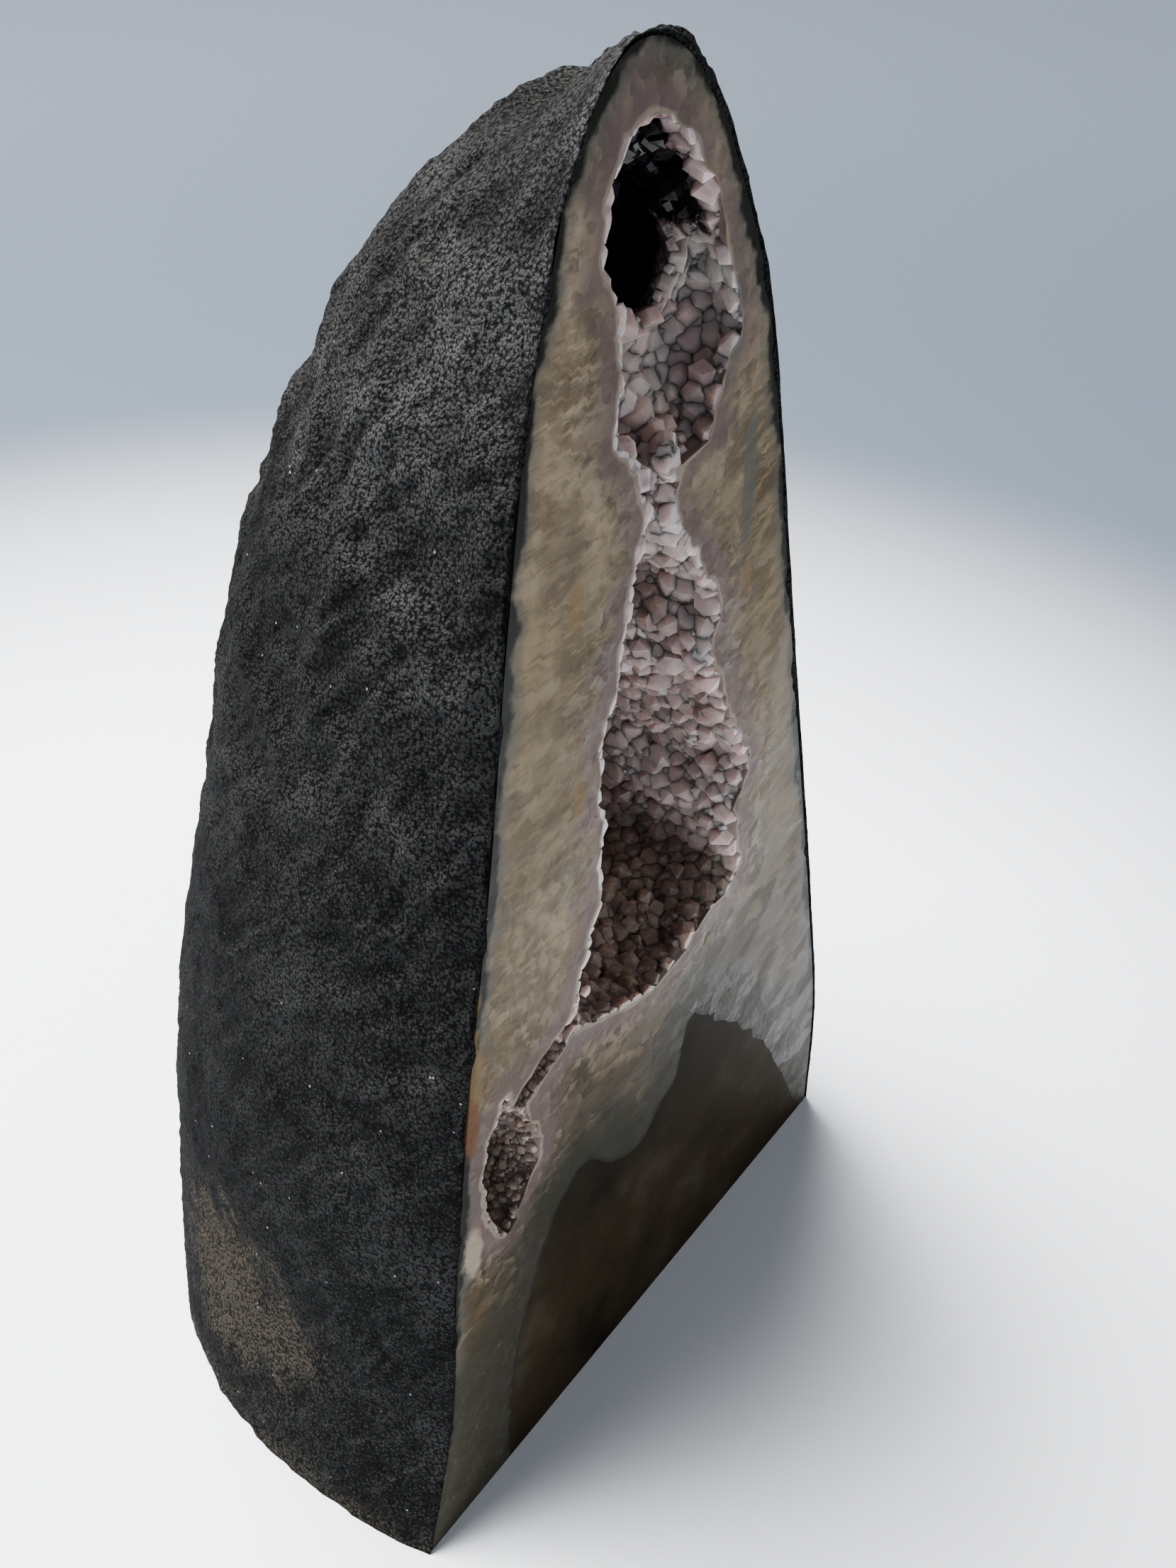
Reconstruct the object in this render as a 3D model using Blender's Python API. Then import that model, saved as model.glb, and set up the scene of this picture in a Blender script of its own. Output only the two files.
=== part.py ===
"""A standing amethyst geode: a hollow quartz stone, sawn flat in front and below, with a cement coat on its back.

The frame has +X to the right along the sawn front, +Y into the stone and +Z up. The origin lies on the surface
that the stone stands on, in the middle of its box. All sizes are in metres.
"""

import math
import random

import bmesh
import bpy
import numpy as np
from mathutils import Matrix, Vector

MM = 0.001

# Driving dimensions. The sawn front is drawn from its lower left corner, and moved to the origin at the end.
HEIGHT = 360 * MM
SHOULDER = 338 * MM  # above this height the outline rounds over to the tip
TIP_X = 84 * MM
ROUNDNESS = 2.3  # exponent of a section's outline, where 2 is an ellipse
SLUMP = 0.6  # how far the top falls away behind the sawn front, for each unit of depth
SLUMP_FROM = 338 * MM  # the slump grows from nothing at this height
COAT = 2.0 * MM
GAP = 0.3 * MM  # between pieces that touch
COAT_LIFT = 0.6 * MM  # the coat stops this far above the base
LINING = 4.0 * MM  # thickness of the crystal lining under its points
PAST = 8.0 * MM  # how far a cutter runs past the face that it cuts
POINT_HEIGHT = (1.6 * MM, 3.4 * MM)  # shortest and tallest crystal point
WALL_START = 3.0 * MM  # crystal points begin this far behind the sawn front
PIT_ROUGHNESS = 0.12  # how far its points stand in, as a share of its radius
POINT_ROOM = 16 * MM  # a chamber narrower than this stays without points

# Horizontal sections of the stone, in mm: height, left edge, right edge, depth, bulge behind the front, lean of the
# back to the right. The bulge is a share of the half width.
STONE = (
    (0, 0, 190, 140, 0.03, -3),
    (45, 12, 188, 145, 0.06, 2),
    (100, 18, 177, 139, 0.09, 8),
    (160, 27, 163, 128, 0.08, 12),
    (215, 37, 150, 118, 0.06, 15),
    (268, 45, 138, 96, 0.05, 18),
    (305, 52, 128, 73, 0.03, 20),
    (338, 62, 112, 39, 0.02, 20),
)

# Horizontal sections of the three hollows, in mm, with the same columns. The lower ones lean to the left, so that
# their left lip overhangs and their right wall slopes.
UPPER_CHAMBER = (
    (281, 88, 110, 10, 0.05, 0),
    (288, 81, 113, 15, 0.08, 2),
    (298, 79, 118, 17, 0.08, 4),
    (308, 79, 116, 17, 0.08, 4),
    (314, 78, 114, 18, 0.08, 5),
    (320, 77, 112, 31, 0.08, 7),
    (327, 75, 109, 30, 0.08, 6),
    (335, 76, 102, 20, 0.05, 4),
    (342, 80, 94, 10, 0.05, 2),
)
LOWER_CHAMBER = (
    (137, 84, 112, 16, 0.05, -4),
    (143, 66, 130, 42, 0.08, -8),
    (153, 66, 131, 58, 0.10, -12),
    (165, 71, 131, 62, 0.10, -14),
    (180, 75, 134, 62, 0.10, -14),
    (195, 75, 127, 58, 0.10, -14),
    (210, 75, 120, 52, 0.10, -12),
    (225, 76, 114, 46, 0.10, -10),
    (238, 79, 118, 40, 0.10, -8),
    (250, 84, 108, 32, 0.08, -5),
    (262, 86, 99, 22, 0.05, -2),
    (285, 88, 97, 16, 0.05, 0),
)
SIDE_VUG = (
    (102, 34, 41, 9, 0.05, 0),
    (110, 32, 46, 18, 0.08, -2),
    (120, 31, 50, 24, 0.10, -4),
    (130, 31, 48, 24, 0.10, -4),
    (138, 33, 44, 14, 0.08, -2),
    (142, 36, 41, 7, 0.05, 0),
)

# The pit goes from the upper chamber down behind the crust at its foot: an egg from one place to another.
PIT_TOP = (84 * MM, 9 * MM, 333 * MM)
PIT_BOTTOM = (123 * MM, 39 * MM, 294 * MM)
PIT_RADIUS = 15 * MM

# Outline of the host rock on the sawn front, in mm from the lower left corner, and how it tapers into the stone.
HOST_ROCK = (
    (34, -5),
    (35, 24),
    (41, 52),
    (52, 79),
    (62, 91),
    (70, 92),
    (80, 81),
    (92, 75),
    (102, 83),
    (109, 88),
    (113, 104),
    (119, 104),
    (132, 89),
    (158, 55),
    (182, 6),
    (186, -5),
)
HOST_DEPTH = 100 * MM
HOST_TAPER = 0.5  # size of the host rock's back end against its front
HOST_TAPER_TO = (108 * MM, -8 * MM)  # where the taper points

BACK_POINTS = 30  # along a section of the stone
STONE_RINGS = 13  # from the base to the shoulder
CAP_RINGS = 5  # from the shoulder to the tip
CHAMBER_POINTS = 18  # along a section of a hollow
CHAMBER_STEP = 9.5 * MM  # between the sections of a hollow
SHARP_ANGLE = math.radians(25)

COLOURS = {  # linear base colour and roughness
    "coat": ((0.035, 0.036, 0.037), 0.75),
    "quartz": ((0.46, 0.41, 0.33), 0.25),
    "host_rock": ((0.035, 0.028, 0.018), 0.55),
    "amethyst": ((0.27, 0.20, 0.25), 0.2),
}


def clear_scene():
    """Removes every object that is there at the start."""
    for obj in list(bpy.data.objects):
        bpy.data.objects.remove(obj)


def smooth(height, table, column):
    """Value of one column of a table at a height, on a smooth curve through its rows."""
    knots = np.array([row[0] for row in table]) * MM
    values = np.array([row[column] for row in table], float)
    slopes = np.gradient(values, knots)
    i = int(np.clip(np.searchsorted(knots, height) - 1, 0, len(knots) - 2))
    span = knots[i + 1] - knots[i]
    t = (height - knots[i]) / span
    start = values[i] * (1 + 2 * t) * (1 - t) ** 2 + slopes[i] * span * t * (1 - t) ** 2
    end = values[i + 1] * t**2 * (3 - 2 * t) + slopes[i + 1] * span * t**2 * (t - 1)
    return float(start + end)


def outline(left, right, depth, bulge, lean, points):
    """Back of a section from its right corner to its left one, at y 0 at both, as (x, y) pairs."""
    middle, half = (left + right) / 2, (right - left) / 2
    widest = half * (1 + bulge)
    forward = (1 - (half / widest) ** ROUNDNESS) ** (1 / ROUNDNESS)
    behind = depth / (1 + forward)
    start = -math.asin(forward ** (ROUNDNESS / 2))
    pairs = []
    for i in range(points):
        angle = start + (math.pi - 2 * start) * i / (points - 1)
        across, back = math.cos(angle), math.sin(angle)
        x = middle + widest * math.copysign(abs(across) ** (2 / ROUNDNESS), across)
        y = behind * (forward + math.copysign(abs(back) ** (2 / ROUNDNESS), back))
        y = 0.0 if i in (0, points - 1) else y
        pairs.append((x + lean * y / depth, y))
    return pairs


def stone_section(height, inset, front):
    """Ring of the stone at a height. The inset draws its sides, back and tip in, and front is where its face lies."""
    side = min(height, SHOULDER)
    left, right, depth = (smooth(side, STONE, c) * MM for c in (1, 2, 3))
    bulge, lean = smooth(side, STONE, 4), smooth(side, STONE, 5) * MM
    closing = math.sqrt(1 - (height - side) / (HEIGHT - SHOULDER))
    left = TIP_X + (left + inset - TIP_X) * closing
    right = TIP_X + (right - inset - TIP_X) * closing
    pairs = outline(left, right, (depth - inset) * closing, bulge, lean * closing, BACK_POINTS)
    if front < 0:
        pairs = [(right, front), *pairs, (left, front)]
    drop = inset * height / HEIGHT
    slump = SLUMP * max(height - SLUMP_FROM, 0.0) / (HEIGHT - SLUMP_FROM)
    return [(x, y, height - drop - slump * max(y, 0.0)) for x, y in pairs]


def stone_rings(inset, bottom, front):
    """Rings of the whole stone from its bottom to its tip, straight down below its base."""
    heights = [SHOULDER * i / (STONE_RINGS - 1) for i in range(STONE_RINGS)]
    rise = HEIGHT - SHOULDER
    heights += [SHOULDER + rise * (1 - (1 - i / (CAP_RINGS + 0.5)) ** 2) for i in range(1, CAP_RINGS + 1)]
    rings = [stone_section(h, inset, front) for h in heights]
    if bottom < 0:
        return [[(x, y, bottom) for x, y, _ in rings[0]], *rings]
    rings[0] = stone_section(bottom, inset, front)
    return rings


def chamber_rings(table, grow, front):
    """Rings of a hollow, grown by this much on every side, from its floor to its roof."""
    floor, roof = table[0][0] * MM, table[-1][0] * MM
    count = round((roof - floor) / CHAMBER_STEP) + 2
    rings = []
    for i in range(count):
        height = floor + (roof - floor) * i / (count - 1)
        left, right, depth = (smooth(height, table, c) * MM for c in (1, 2, 3))
        bulge, lean = smooth(height, table, 4), smooth(height, table, 5) * MM
        pairs = outline(left - grow, right + grow, depth + grow, bulge, lean, CHAMBER_POINTS)
        pairs = [(right + grow, front), *pairs, (left - grow, front)] if front < 0 else pairs
        rings.append([(x, y, height) for x, y in pairs])
    if grow:
        below = [(x, y, floor - grow) for x, y, _ in rings[0]]
        above = [(x, y, roof + grow) for x, y, _ in rings[-1]]
        rings = [below, *rings, above]
    return rings


def loft(rings, nests=False):
    """Closed mesh through rings that all have the same number of points. One that nests is split into triangles."""
    bm = bmesh.new()
    loops = []
    for ring in rings:
        circle = bmesh.ops.create_circle(bm, segments=len(ring), radius=1)["verts"]
        for vertex, place in zip(circle, ring):
            vertex.co = place
        loops.append({edge for vertex in circle for edge in vertex.link_edges})
    ends = [list(loops[0]), list(loops[-1])]
    for lower, upper in zip(loops, loops[1:]):
        bmesh.ops.bridge_loops(bm, edges=list(lower | upper))
    for end in ends:
        bmesh.ops.edgeloop_fill(bm, edges=end)
    largest = 3 if nests else 4
    split = [face for face in bm.faces if len(face.verts) > largest]
    bmesh.ops.triangulate(bm, faces=split, quad_method="SHORT_EDGE")
    bmesh.ops.recalc_face_normals(bm, faces=bm.faces)
    return bm


def material(name):
    """The material with this name in COLOURS, made once."""
    found = bpy.data.materials.get(name)
    if found:
        return found
    made = bpy.data.materials.new(name)
    made.use_nodes = True
    colour, roughness = COLOURS[name]
    shader = made.node_tree.nodes["Principled BSDF"]
    shader.inputs["Base Color"].default_value = (*colour, 1)
    shader.inputs["Roughness"].default_value = roughness
    return made


def add_object(name, bm, slot=None):
    """Links the mesh as an object. One with no slot is a cutter, which isn't part of the object."""
    mesh = bpy.data.meshes.new(name)
    bm.to_mesh(mesh)
    bm.free()
    mesh.shade_smooth()
    mesh.set_sharp_from_angle(angle=SHARP_ANGLE)
    obj = bpy.data.objects.new(name, mesh)
    bpy.context.scene.collection.objects.link(obj)
    if slot:
        mesh.materials.append(material(slot))
    else:
        obj.hide_render = True
        obj.display_type = "WIRE"
    return obj


def combine(obj, other, operation):
    """Adds an exact Boolean of the object with another one."""
    modifier = obj.modifiers.new(f"{operation.lower()}_{other.name}", "BOOLEAN")
    modifier.operation = operation
    modifier.object = other
    modifier.solver = "EXACT"


def add_points(bm, table, rng):
    """Raises a crystal point on each inner face of a hollow where there is room for one."""
    walls = []
    for face in bm.faces:
        centre = face.calc_center_median()
        height = min(max(centre.z, table[0][0] * MM), table[-1][0] * MM)
        room = (smooth(height, table, 2) - smooth(height, table, 1)) * MM
        if len(face.verts) == 4 and centre.y > WALL_START and room > POINT_ROOM:
            walls.append(face)
    for face in walls:
        bmesh.ops.poke(bm, faces=[face], offset=-rng.uniform(*POINT_HEIGHT))


def chamber_cutters(name, table, rng):
    """The hollow itself with its crystal points, and the seat that its lining fills, with the gap round it."""
    hollow = loft(chamber_rings(table, 0.0, -PAST))
    add_points(hollow, table, rng)
    seat = loft(chamber_rings(table, LINING + GAP, -PAST), nests=True)
    return add_object(name + "_hollow", hollow), add_object(name + "_seat", seat)


def pit(name, grow, rng=None):
    """The pit, grown by this much on every side, with crystal points if it is given a source of chance."""
    top, bottom = Vector(PIT_TOP), Vector(PIT_BOTTOM)
    bm = bmesh.new()
    bmesh.ops.create_icosphere(bm, subdivisions=3, radius=1)
    if rng:
        for vertex in bm.verts:
            vertex.co *= 1 - rng.uniform(0, PIT_ROUGHNESS)
    along = bottom - top
    turn = along.to_track_quat("Z", "Y").to_matrix().to_4x4()
    size = (PIT_RADIUS + grow, PIT_RADIUS + grow, along.length / 2 + grow, 1)
    bm.transform(Matrix.Translation((top + bottom) / 2) @ turn @ Matrix.Diagonal(size))
    return add_object(name, bm)


def make_lining(name, table):
    """The crystal lining of one hollow, flush with the sawn front, before its hollow is cut out."""
    return add_object(name, loft(chamber_rings(table, LINING, 0.0), nests=True), "amethyst")


def grown_outline(points, by):
    """A closed (x, z) outline moved outwards by a distance. Its points run clockwise."""
    along = np.roll(points, -1, axis=0) - np.roll(points, 1, axis=0)
    outward = np.stack([-along[:, 1], along[:, 0]], axis=1)
    return points + by * outward / np.linalg.norm(outward, axis=1, keepdims=True)


def host_rock_block(name, grow, slot=None):
    """The host rock as a block that tapers into the stone."""
    outline_in_front = np.array(HOST_ROCK) * MM
    outline_behind = HOST_TAPER_TO + (outline_in_front - HOST_TAPER_TO) * HOST_TAPER
    front = grown_outline(outline_in_front, grow)
    behind = grown_outline(outline_behind, grow)
    depth = HOST_DEPTH + grow
    rings = [[(x, y, z) for x, z in front] for y in (-PAST, 0.0)]
    rings.append([(x, depth, z) for x, z in behind])
    return add_object(name, loft(rings, nests=True), slot)


def make_coat():
    """The cement coat: a skin over the sides and back, open at the sawn front and at the base."""
    coat = add_object("cement_coat", loft(stone_rings(0.0, COAT_LIFT, 0.0), nests=True), "coat")
    inside = add_object("coat_inside", loft(stone_rings(COAT, -PAST, -PAST), nests=True))
    combine(coat, inside, "DIFFERENCE")
    return coat


def make_stone():
    """The quartz shell, the host rock under it and the crystal linings of its hollows, which cut each other."""
    rng = random.Random(7)
    body = loft(stone_rings(COAT + GAP, 0.0, 0.0), nests=True)
    rock = host_rock_block("basalt_matrix", -GAP, "host_rock")
    combine(rock, add_object("stone_body", body.copy()), "INTERSECT")
    shell = add_object("quartz_shell", body, "quartz")
    combine(shell, host_rock_block("rock_seat", 0.0), "DIFFERENCE")

    upper_hollow, upper_seat = chamber_cutters("upper", UPPER_CHAMBER, rng)
    lower_hollow, lower_seat = chamber_cutters("lower", LOWER_CHAMBER, rng)
    vug_hollow, vug_seat = chamber_cutters("vug", SIDE_VUG, rng)
    pit_hollow = pit("pit_hollow", 0.0, rng)
    for seat in (upper_seat, lower_seat, vug_seat, pit("pit_seat", LINING + GAP)):
        combine(shell, seat, "DIFFERENCE")

    upper = make_lining("upper_crystals", UPPER_CHAMBER)
    combine(upper, pit("pit_lining", LINING), "UNION")
    lower = make_lining("lower_crystals", LOWER_CHAMBER)
    vug = make_lining("vug_crystals", SIDE_VUG)
    for lining, cutters in (
        (upper, (upper_hollow, pit_hollow, lower_hollow)),
        (lower, (upper_seat, lower_hollow)),
        (vug, (vug_hollow,)),
    ):
        for cutter in cutters:
            combine(lining, cutter, "DIFFERENCE")


def centre_on_origin(measured):
    """Moves every mesh so that the measured object's box stands centred on the origin."""
    corners = np.array([vertex.co for vertex in measured.data.vertices])
    middle = (corners.min(axis=0) + corners.max(axis=0)) / 2
    for obj in bpy.data.objects:
        obj.location = (-middle[0], -middle[1], 0)


def main():
    """Builds the geode."""
    clear_scene()
    coat = make_coat()
    make_stone()
    centre_on_origin(coat)


main()
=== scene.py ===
"""Looks of the standing amethyst geode: coat, polished quartz wall, host rock, crystal crusts and studio."""

import logging
import math
import random
from abc import ABC, abstractmethod
from collections.abc import Iterable, Sequence
from dataclasses import dataclass, field
from enum import Enum

import bmesh
import bpy
import numpy as np
from mathutils import Matrix, Vector, kdtree, noise


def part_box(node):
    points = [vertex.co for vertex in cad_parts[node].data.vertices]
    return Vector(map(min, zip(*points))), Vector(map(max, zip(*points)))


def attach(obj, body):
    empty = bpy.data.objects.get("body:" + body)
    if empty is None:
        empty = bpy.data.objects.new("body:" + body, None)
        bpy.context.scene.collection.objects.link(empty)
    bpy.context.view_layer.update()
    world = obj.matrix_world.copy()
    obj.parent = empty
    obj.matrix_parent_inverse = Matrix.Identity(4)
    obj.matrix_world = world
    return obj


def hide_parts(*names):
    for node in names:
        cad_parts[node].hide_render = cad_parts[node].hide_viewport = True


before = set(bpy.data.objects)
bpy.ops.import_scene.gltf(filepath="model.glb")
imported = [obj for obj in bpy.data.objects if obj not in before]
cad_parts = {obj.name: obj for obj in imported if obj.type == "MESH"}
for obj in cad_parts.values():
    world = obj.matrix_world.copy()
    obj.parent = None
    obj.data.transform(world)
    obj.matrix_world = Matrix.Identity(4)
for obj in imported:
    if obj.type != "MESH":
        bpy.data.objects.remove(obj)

Array = np.ndarray
Tree = bpy.types.NodeTree
Node = bpy.types.Node
Material = bpy.types.Material
Piece = bpy.types.Object
Socket = bpy.types.NodeSocket
Colour = tuple[float, float, float]
Size = tuple[float, float, float]
Paint = Socket | Colour
Seat = tuple[Vector, Vector, float]

MM = 0.001
ROUNDNESS = 2.3  # exponent of a section's outline, where 2 is an ellipse
SHOULDER = 338 * MM  # above this height the stone rounds over to its tip
TIP_X = 84 * MM
SLUMP = 0.6  # how far the top falls away behind the sawn face, for each unit of depth
SLUMP_FROM = 338 * MM  # the slump grows from nothing at this height
RIM_INSET = 0.9 * MM  # how far the quartz lies under the coat's outside at the rim of the sawn face
BACK_INSET = 3.2 * MM  # and on the back
FRONT_RUN = 9.0 * MM  # how far a cutter runs out of the sawn front

log = logging.getLogger("geode")


# ------------------------------------------------------------------------------------------------------------
# Forms


def fractal(places: Array, size: float, octaves: int = 3, seed: int = 0) -> Array:
    """Smooth noise of about -1 to 1 at each place.

    Args:
        places: An (n, 3) array of places.
        size: Length of the largest waves, in metres.
        octaves: How many times finer waves are added.
        seed: Which of the endless patterns to use.

    Returns:
        An (n,) array of values.
    """
    shift = Vector((seed * 17.31, seed * 5.77, seed * 11.13))
    return np.array([noise.fractal(Vector(p) + shift, 1.0, 2.0, octaves) for p in places / size])


def smoothstep(low: float, high: float, values: Array) -> Array:
    """Eases the values from 0 at low to 1 at high."""
    t = np.clip((values - low) / (high - low), 0, 1)
    return t * t * (3 - 2 * t)


@dataclass(frozen=True)
class SectionTable:
    """Horizontal sections of a form that is sawn flat at y 0.

    They are measured from the foot of the sawn face's left edge.

    Attributes:
        rows: One row for each section, in mm: height, left edge, right edge, depth, bulge behind the front as
            a share of the half width, and lean of the back to the right.
    """

    rows: tuple[tuple[float, ...], ...]

    @property
    def floor(self) -> float:
        """Height of the lowest section."""
        return self.rows[0][0] * MM

    @property
    def roof(self) -> float:
        """Height of the highest section."""
        return self.rows[-1][0] * MM

    def at(self, heights: Array) -> Array:
        """Left edge, right edge, depth, bulge and lean at each height, on smooth curves through the rows.

        Args:
            heights: Heights in metres, of any shape.

        Returns:
            An array whose first axis holds the five columns.
        """
        table = np.array(self.rows, float)
        knots, values = table[:, 0] * MM, table[:, 1:] * (MM, MM, MM, 1, MM)
        slopes = np.gradient(values, knots, axis=0)
        heights = np.clip(heights, self.floor, self.roof)
        i = np.clip(np.searchsorted(knots, heights) - 1, 0, len(knots) - 2)
        span = (knots[i + 1] - knots[i])[..., None]
        t = (heights - knots[i])[..., None] / span
        start = values[i] * (1 + 2 * t) * (1 - t) ** 2 + slopes[i] * span * t * (1 - t) ** 2
        end = values[i + 1] * t**2 * (3 - 2 * t) + slopes[i + 1] * span * t**2 * (t - 1)
        return np.moveaxis(start + end, -1, 0)


def signed_power(values: Array, power: float) -> Array:
    """Raises the size of each value to a power and keeps its sign."""
    return np.sign(values) * np.abs(values) ** power


def back_outline(left: Array, right: Array, depth: Array, bulge: Array, lean: Array, around: Array) -> tuple:
    """Place on a section's rounded back, from its right corner to its left one.

    Args:
        left: Left edge on the sawn face.
        right: Right edge on the sawn face.
        depth: Depth behind the sawn face.
        bulge: How far the sides swell behind the face, as a share of the half width.
        lean: How far the back lies to the right of the front.
        around: From 0 at the right corner to 1 at the left one.

    Returns:
        The x and y places, as two arrays.
    """
    middle, half = (left + right) / 2, (right - left) / 2
    widest = half * (1 + bulge)
    forward = (1 - (1 / (1 + bulge)) ** ROUNDNESS) ** (1 / ROUNDNESS)
    start = -np.arcsin(forward ** (ROUNDNESS / 2))
    angle = start + (np.pi - 2 * start) * around
    behind = np.maximum(forward + signed_power(np.sin(angle), 2 / ROUNDNESS), 0) / (1 + forward)
    return middle + widest * signed_power(np.cos(angle), 2 / ROUNDNESS) + lean * behind, depth * behind


STONE = SectionTable(
    (
        (0, 0, 190, 140, 0.03, -3),
        (45, 12, 188, 145, 0.06, 2),
        (100, 18, 177, 139, 0.09, 8),
        (160, 27, 163, 128, 0.08, 12),
        (215, 37, 150, 118, 0.06, 15),
        (268, 45, 138, 96, 0.05, 18),
        (305, 52, 128, 73, 0.03, 20),
        (338, 62, 112, 39, 0.02, 20),
    )
)


def stone_place(around: Array, rise: Array, inset: float | Array = 0.0) -> Array:
    """Place on the stone's rounded outside, before it is moved onto the frame.

    Args:
        around: From 0 at the right edge of the sawn face, round the back, to 1 at its left edge.
        rise: From 0 at the base to 1 at the tip.
        inset: How far the place lies under the outside.

    Returns:
        An array of places with a last axis of x, y and z.
    """
    top = STONE_TOP - inset
    shoulder_rise = 0.9
    cap = np.clip((rise - shoulder_rise) / (1 - shoulder_rise), 0, 1)
    height = SHOULDER * np.clip(rise / shoulder_rise, 0, 1) + (top - SHOULDER) * (1 - (1 - cap) ** 2)
    left, right, depth, bulge, lean = STONE.at(np.minimum(height, SHOULDER))
    closing = 1 - cap
    left = TIP_X + (left + inset - TIP_X) * closing
    right = TIP_X + (right - inset - TIP_X) * closing
    x, y = back_outline(left, right, (depth - inset) * closing, bulge, lean * closing, around)
    slump = SLUMP * np.clip((height - SLUMP_FROM) / (STONE_TOP - SLUMP_FROM), 0, 1)
    return np.stack([x, y, height - slump * y], axis=-1)


STONE_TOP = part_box("cement_coat")[1][2]


def shift_onto_frame() -> Array:
    """Finds how far the stone's tables lie from the frame.

    Returns:
        The move in x, y and z that fits the stone to the coat's box.
    """
    around, rise = np.meshgrid(np.linspace(0, 1, 60), np.linspace(0, 1, 60))
    places = stone_place(around, rise).reshape(-1, 3)
    low, high = (np.array(corner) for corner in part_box("cement_coat"))
    shift = (low + high) / 2 - (places.min(axis=0) + places.max(axis=0)) / 2
    return np.array([shift[0], low[1], 0.0])


SHIFT = shift_onto_frame()  # from the lower left corner of the sawn face to the frame's origin


class Sheet:
    """A flat grid of faces that is bent over a form."""

    def __init__(self, columns: int, rows: int, layer: str = "") -> None:
        """Makes the flat grid.

        Args:
            columns: Number of cells across.
            rows: Number of cells up.
            layer: Name of a number that each corner holds, if it needs one.
        """
        self.bm = bmesh.new()
        self.layer = self.bm.verts.layers.float.new(layer) if layer else None
        bmesh.ops.create_grid(self.bm, x_segments=columns, y_segments=rows, size=0.5)
        self.verts = list(self.bm.verts)
        flat = np.array([vert.co for vert in self.verts])
        self.order = np.lexsort((flat[:, 0], np.round(flat[:, 1], 6)))
        shape = (len(set(np.round(flat[:, 1], 6))), -1)
        self.across = flat[self.order, 0].reshape(shape) + 0.5
        self.up = flat[self.order, 1].reshape(shape) + 0.5

    def in_order(self) -> list[bmesh.types.BMVert]:
        """The grid's corners in the order of its places."""
        return [self.verts[index] for index in self.order]

    def bend(self, places: Array) -> bmesh.types.BMesh:
        """Moves the grid's corners to their places.

        Args:
            places: Places in the grid's own order, with a last axis of x, y and z.

        Returns:
            The bent grid.
        """
        for vert, place in zip(self.in_order(), places.reshape(-1, 3).tolist()):
            vert.co = place
        return self.bm


def grid_normals(places: Array, inside: Array) -> Array:
    """Unit normals of a grid of places.

    Args:
        places: The grid.
        inside: A place inside each row, which the normals point away from.

    Returns:
        A grid of normals.
    """
    across, up = np.gradient(places, axis=1), np.gradient(places, axis=0)
    normals = np.cross(across, up)
    length = np.linalg.norm(normals, axis=2, keepdims=True)
    normals = normals / np.maximum(length, 1e-12)
    facing = np.sum(normals * (places - inside), axis=2)
    return normals * np.where(np.median(facing) < 0, -1, 1)


def close_tube(bm: bmesh.types.BMesh) -> None:
    """Welds the seam of a sheet that was bent into a tube, closes its ends and turns its faces outwards."""
    bmesh.ops.remove_doubles(bm, verts=bm.verts, dist=1e-6)
    bmesh.ops.holes_fill(bm, edges=[edge for edge in bm.edges if edge.is_boundary], sides=0)
    bmesh.ops.triangulate(bm, faces=[face for face in bm.faces if len(face.verts) > 4])
    bmesh.ops.recalc_face_normals(bm, faces=bm.faces)


def add_piece(name: str, bm: bmesh.types.BMesh, material: Material | None = None) -> Piece:
    """Links a mesh as an object.

    Args:
        name: The object's name.
        bm: The mesh, which is freed.
        material: Its finish. A cutter has none.

    Returns:
        The object, at the origin.
    """
    mesh = bpy.data.meshes.new(name)
    bm.to_mesh(mesh)
    bm.free()
    piece = bpy.data.objects.new(name, mesh)
    bpy.context.scene.collection.objects.link(piece)
    if material:
        mesh.materials.append(material)
    return piece


def carve(target: Piece, cutters: Iterable[Piece], operation: str) -> None:
    """Cuts an object with others for good.

    Args:
        target: The object that keeps its name.
        cutters: The objects that cut it.
        operation: DIFFERENCE or INTERSECT.
    """
    for cutter in cutters:
        modifier = target.modifiers.new(cutter.name, "BOOLEAN")
        modifier.operation = operation
        modifier.object = cutter
        modifier.solver = "EXACT"
    evaluated = target.evaluated_get(bpy.context.evaluated_depsgraph_get())
    mesh = bpy.data.meshes.new_from_object(evaluated)
    target.modifiers.clear()
    target.data = mesh


def mesh_places(mesh: bpy.types.Mesh) -> Array:
    """The places of a mesh's vertices as an (n, 3) array."""
    flat = np.empty(len(mesh.vertices) * 3, np.float32)
    mesh.vertices.foreach_get("co", flat)
    return flat.reshape(-1, 3).astype(float)


def store(mesh: bpy.types.Mesh, name: str, values: Array) -> None:
    """Stores one number for each vertex as an attribute that materials can read."""
    mesh.attributes.new(name, "FLOAT", "POINT").data.foreach_set("value", values.astype(np.float32))


# ------------------------------------------------------------------------------------------------------------
# Material tools


class Kind(Enum):
    """Kinds of value that a node group takes and puts out."""

    NUMBER = "NodeSocketFloat"
    COLOUR = "NodeSocketColor"
    VECTOR = "NodeSocketVector"


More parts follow.
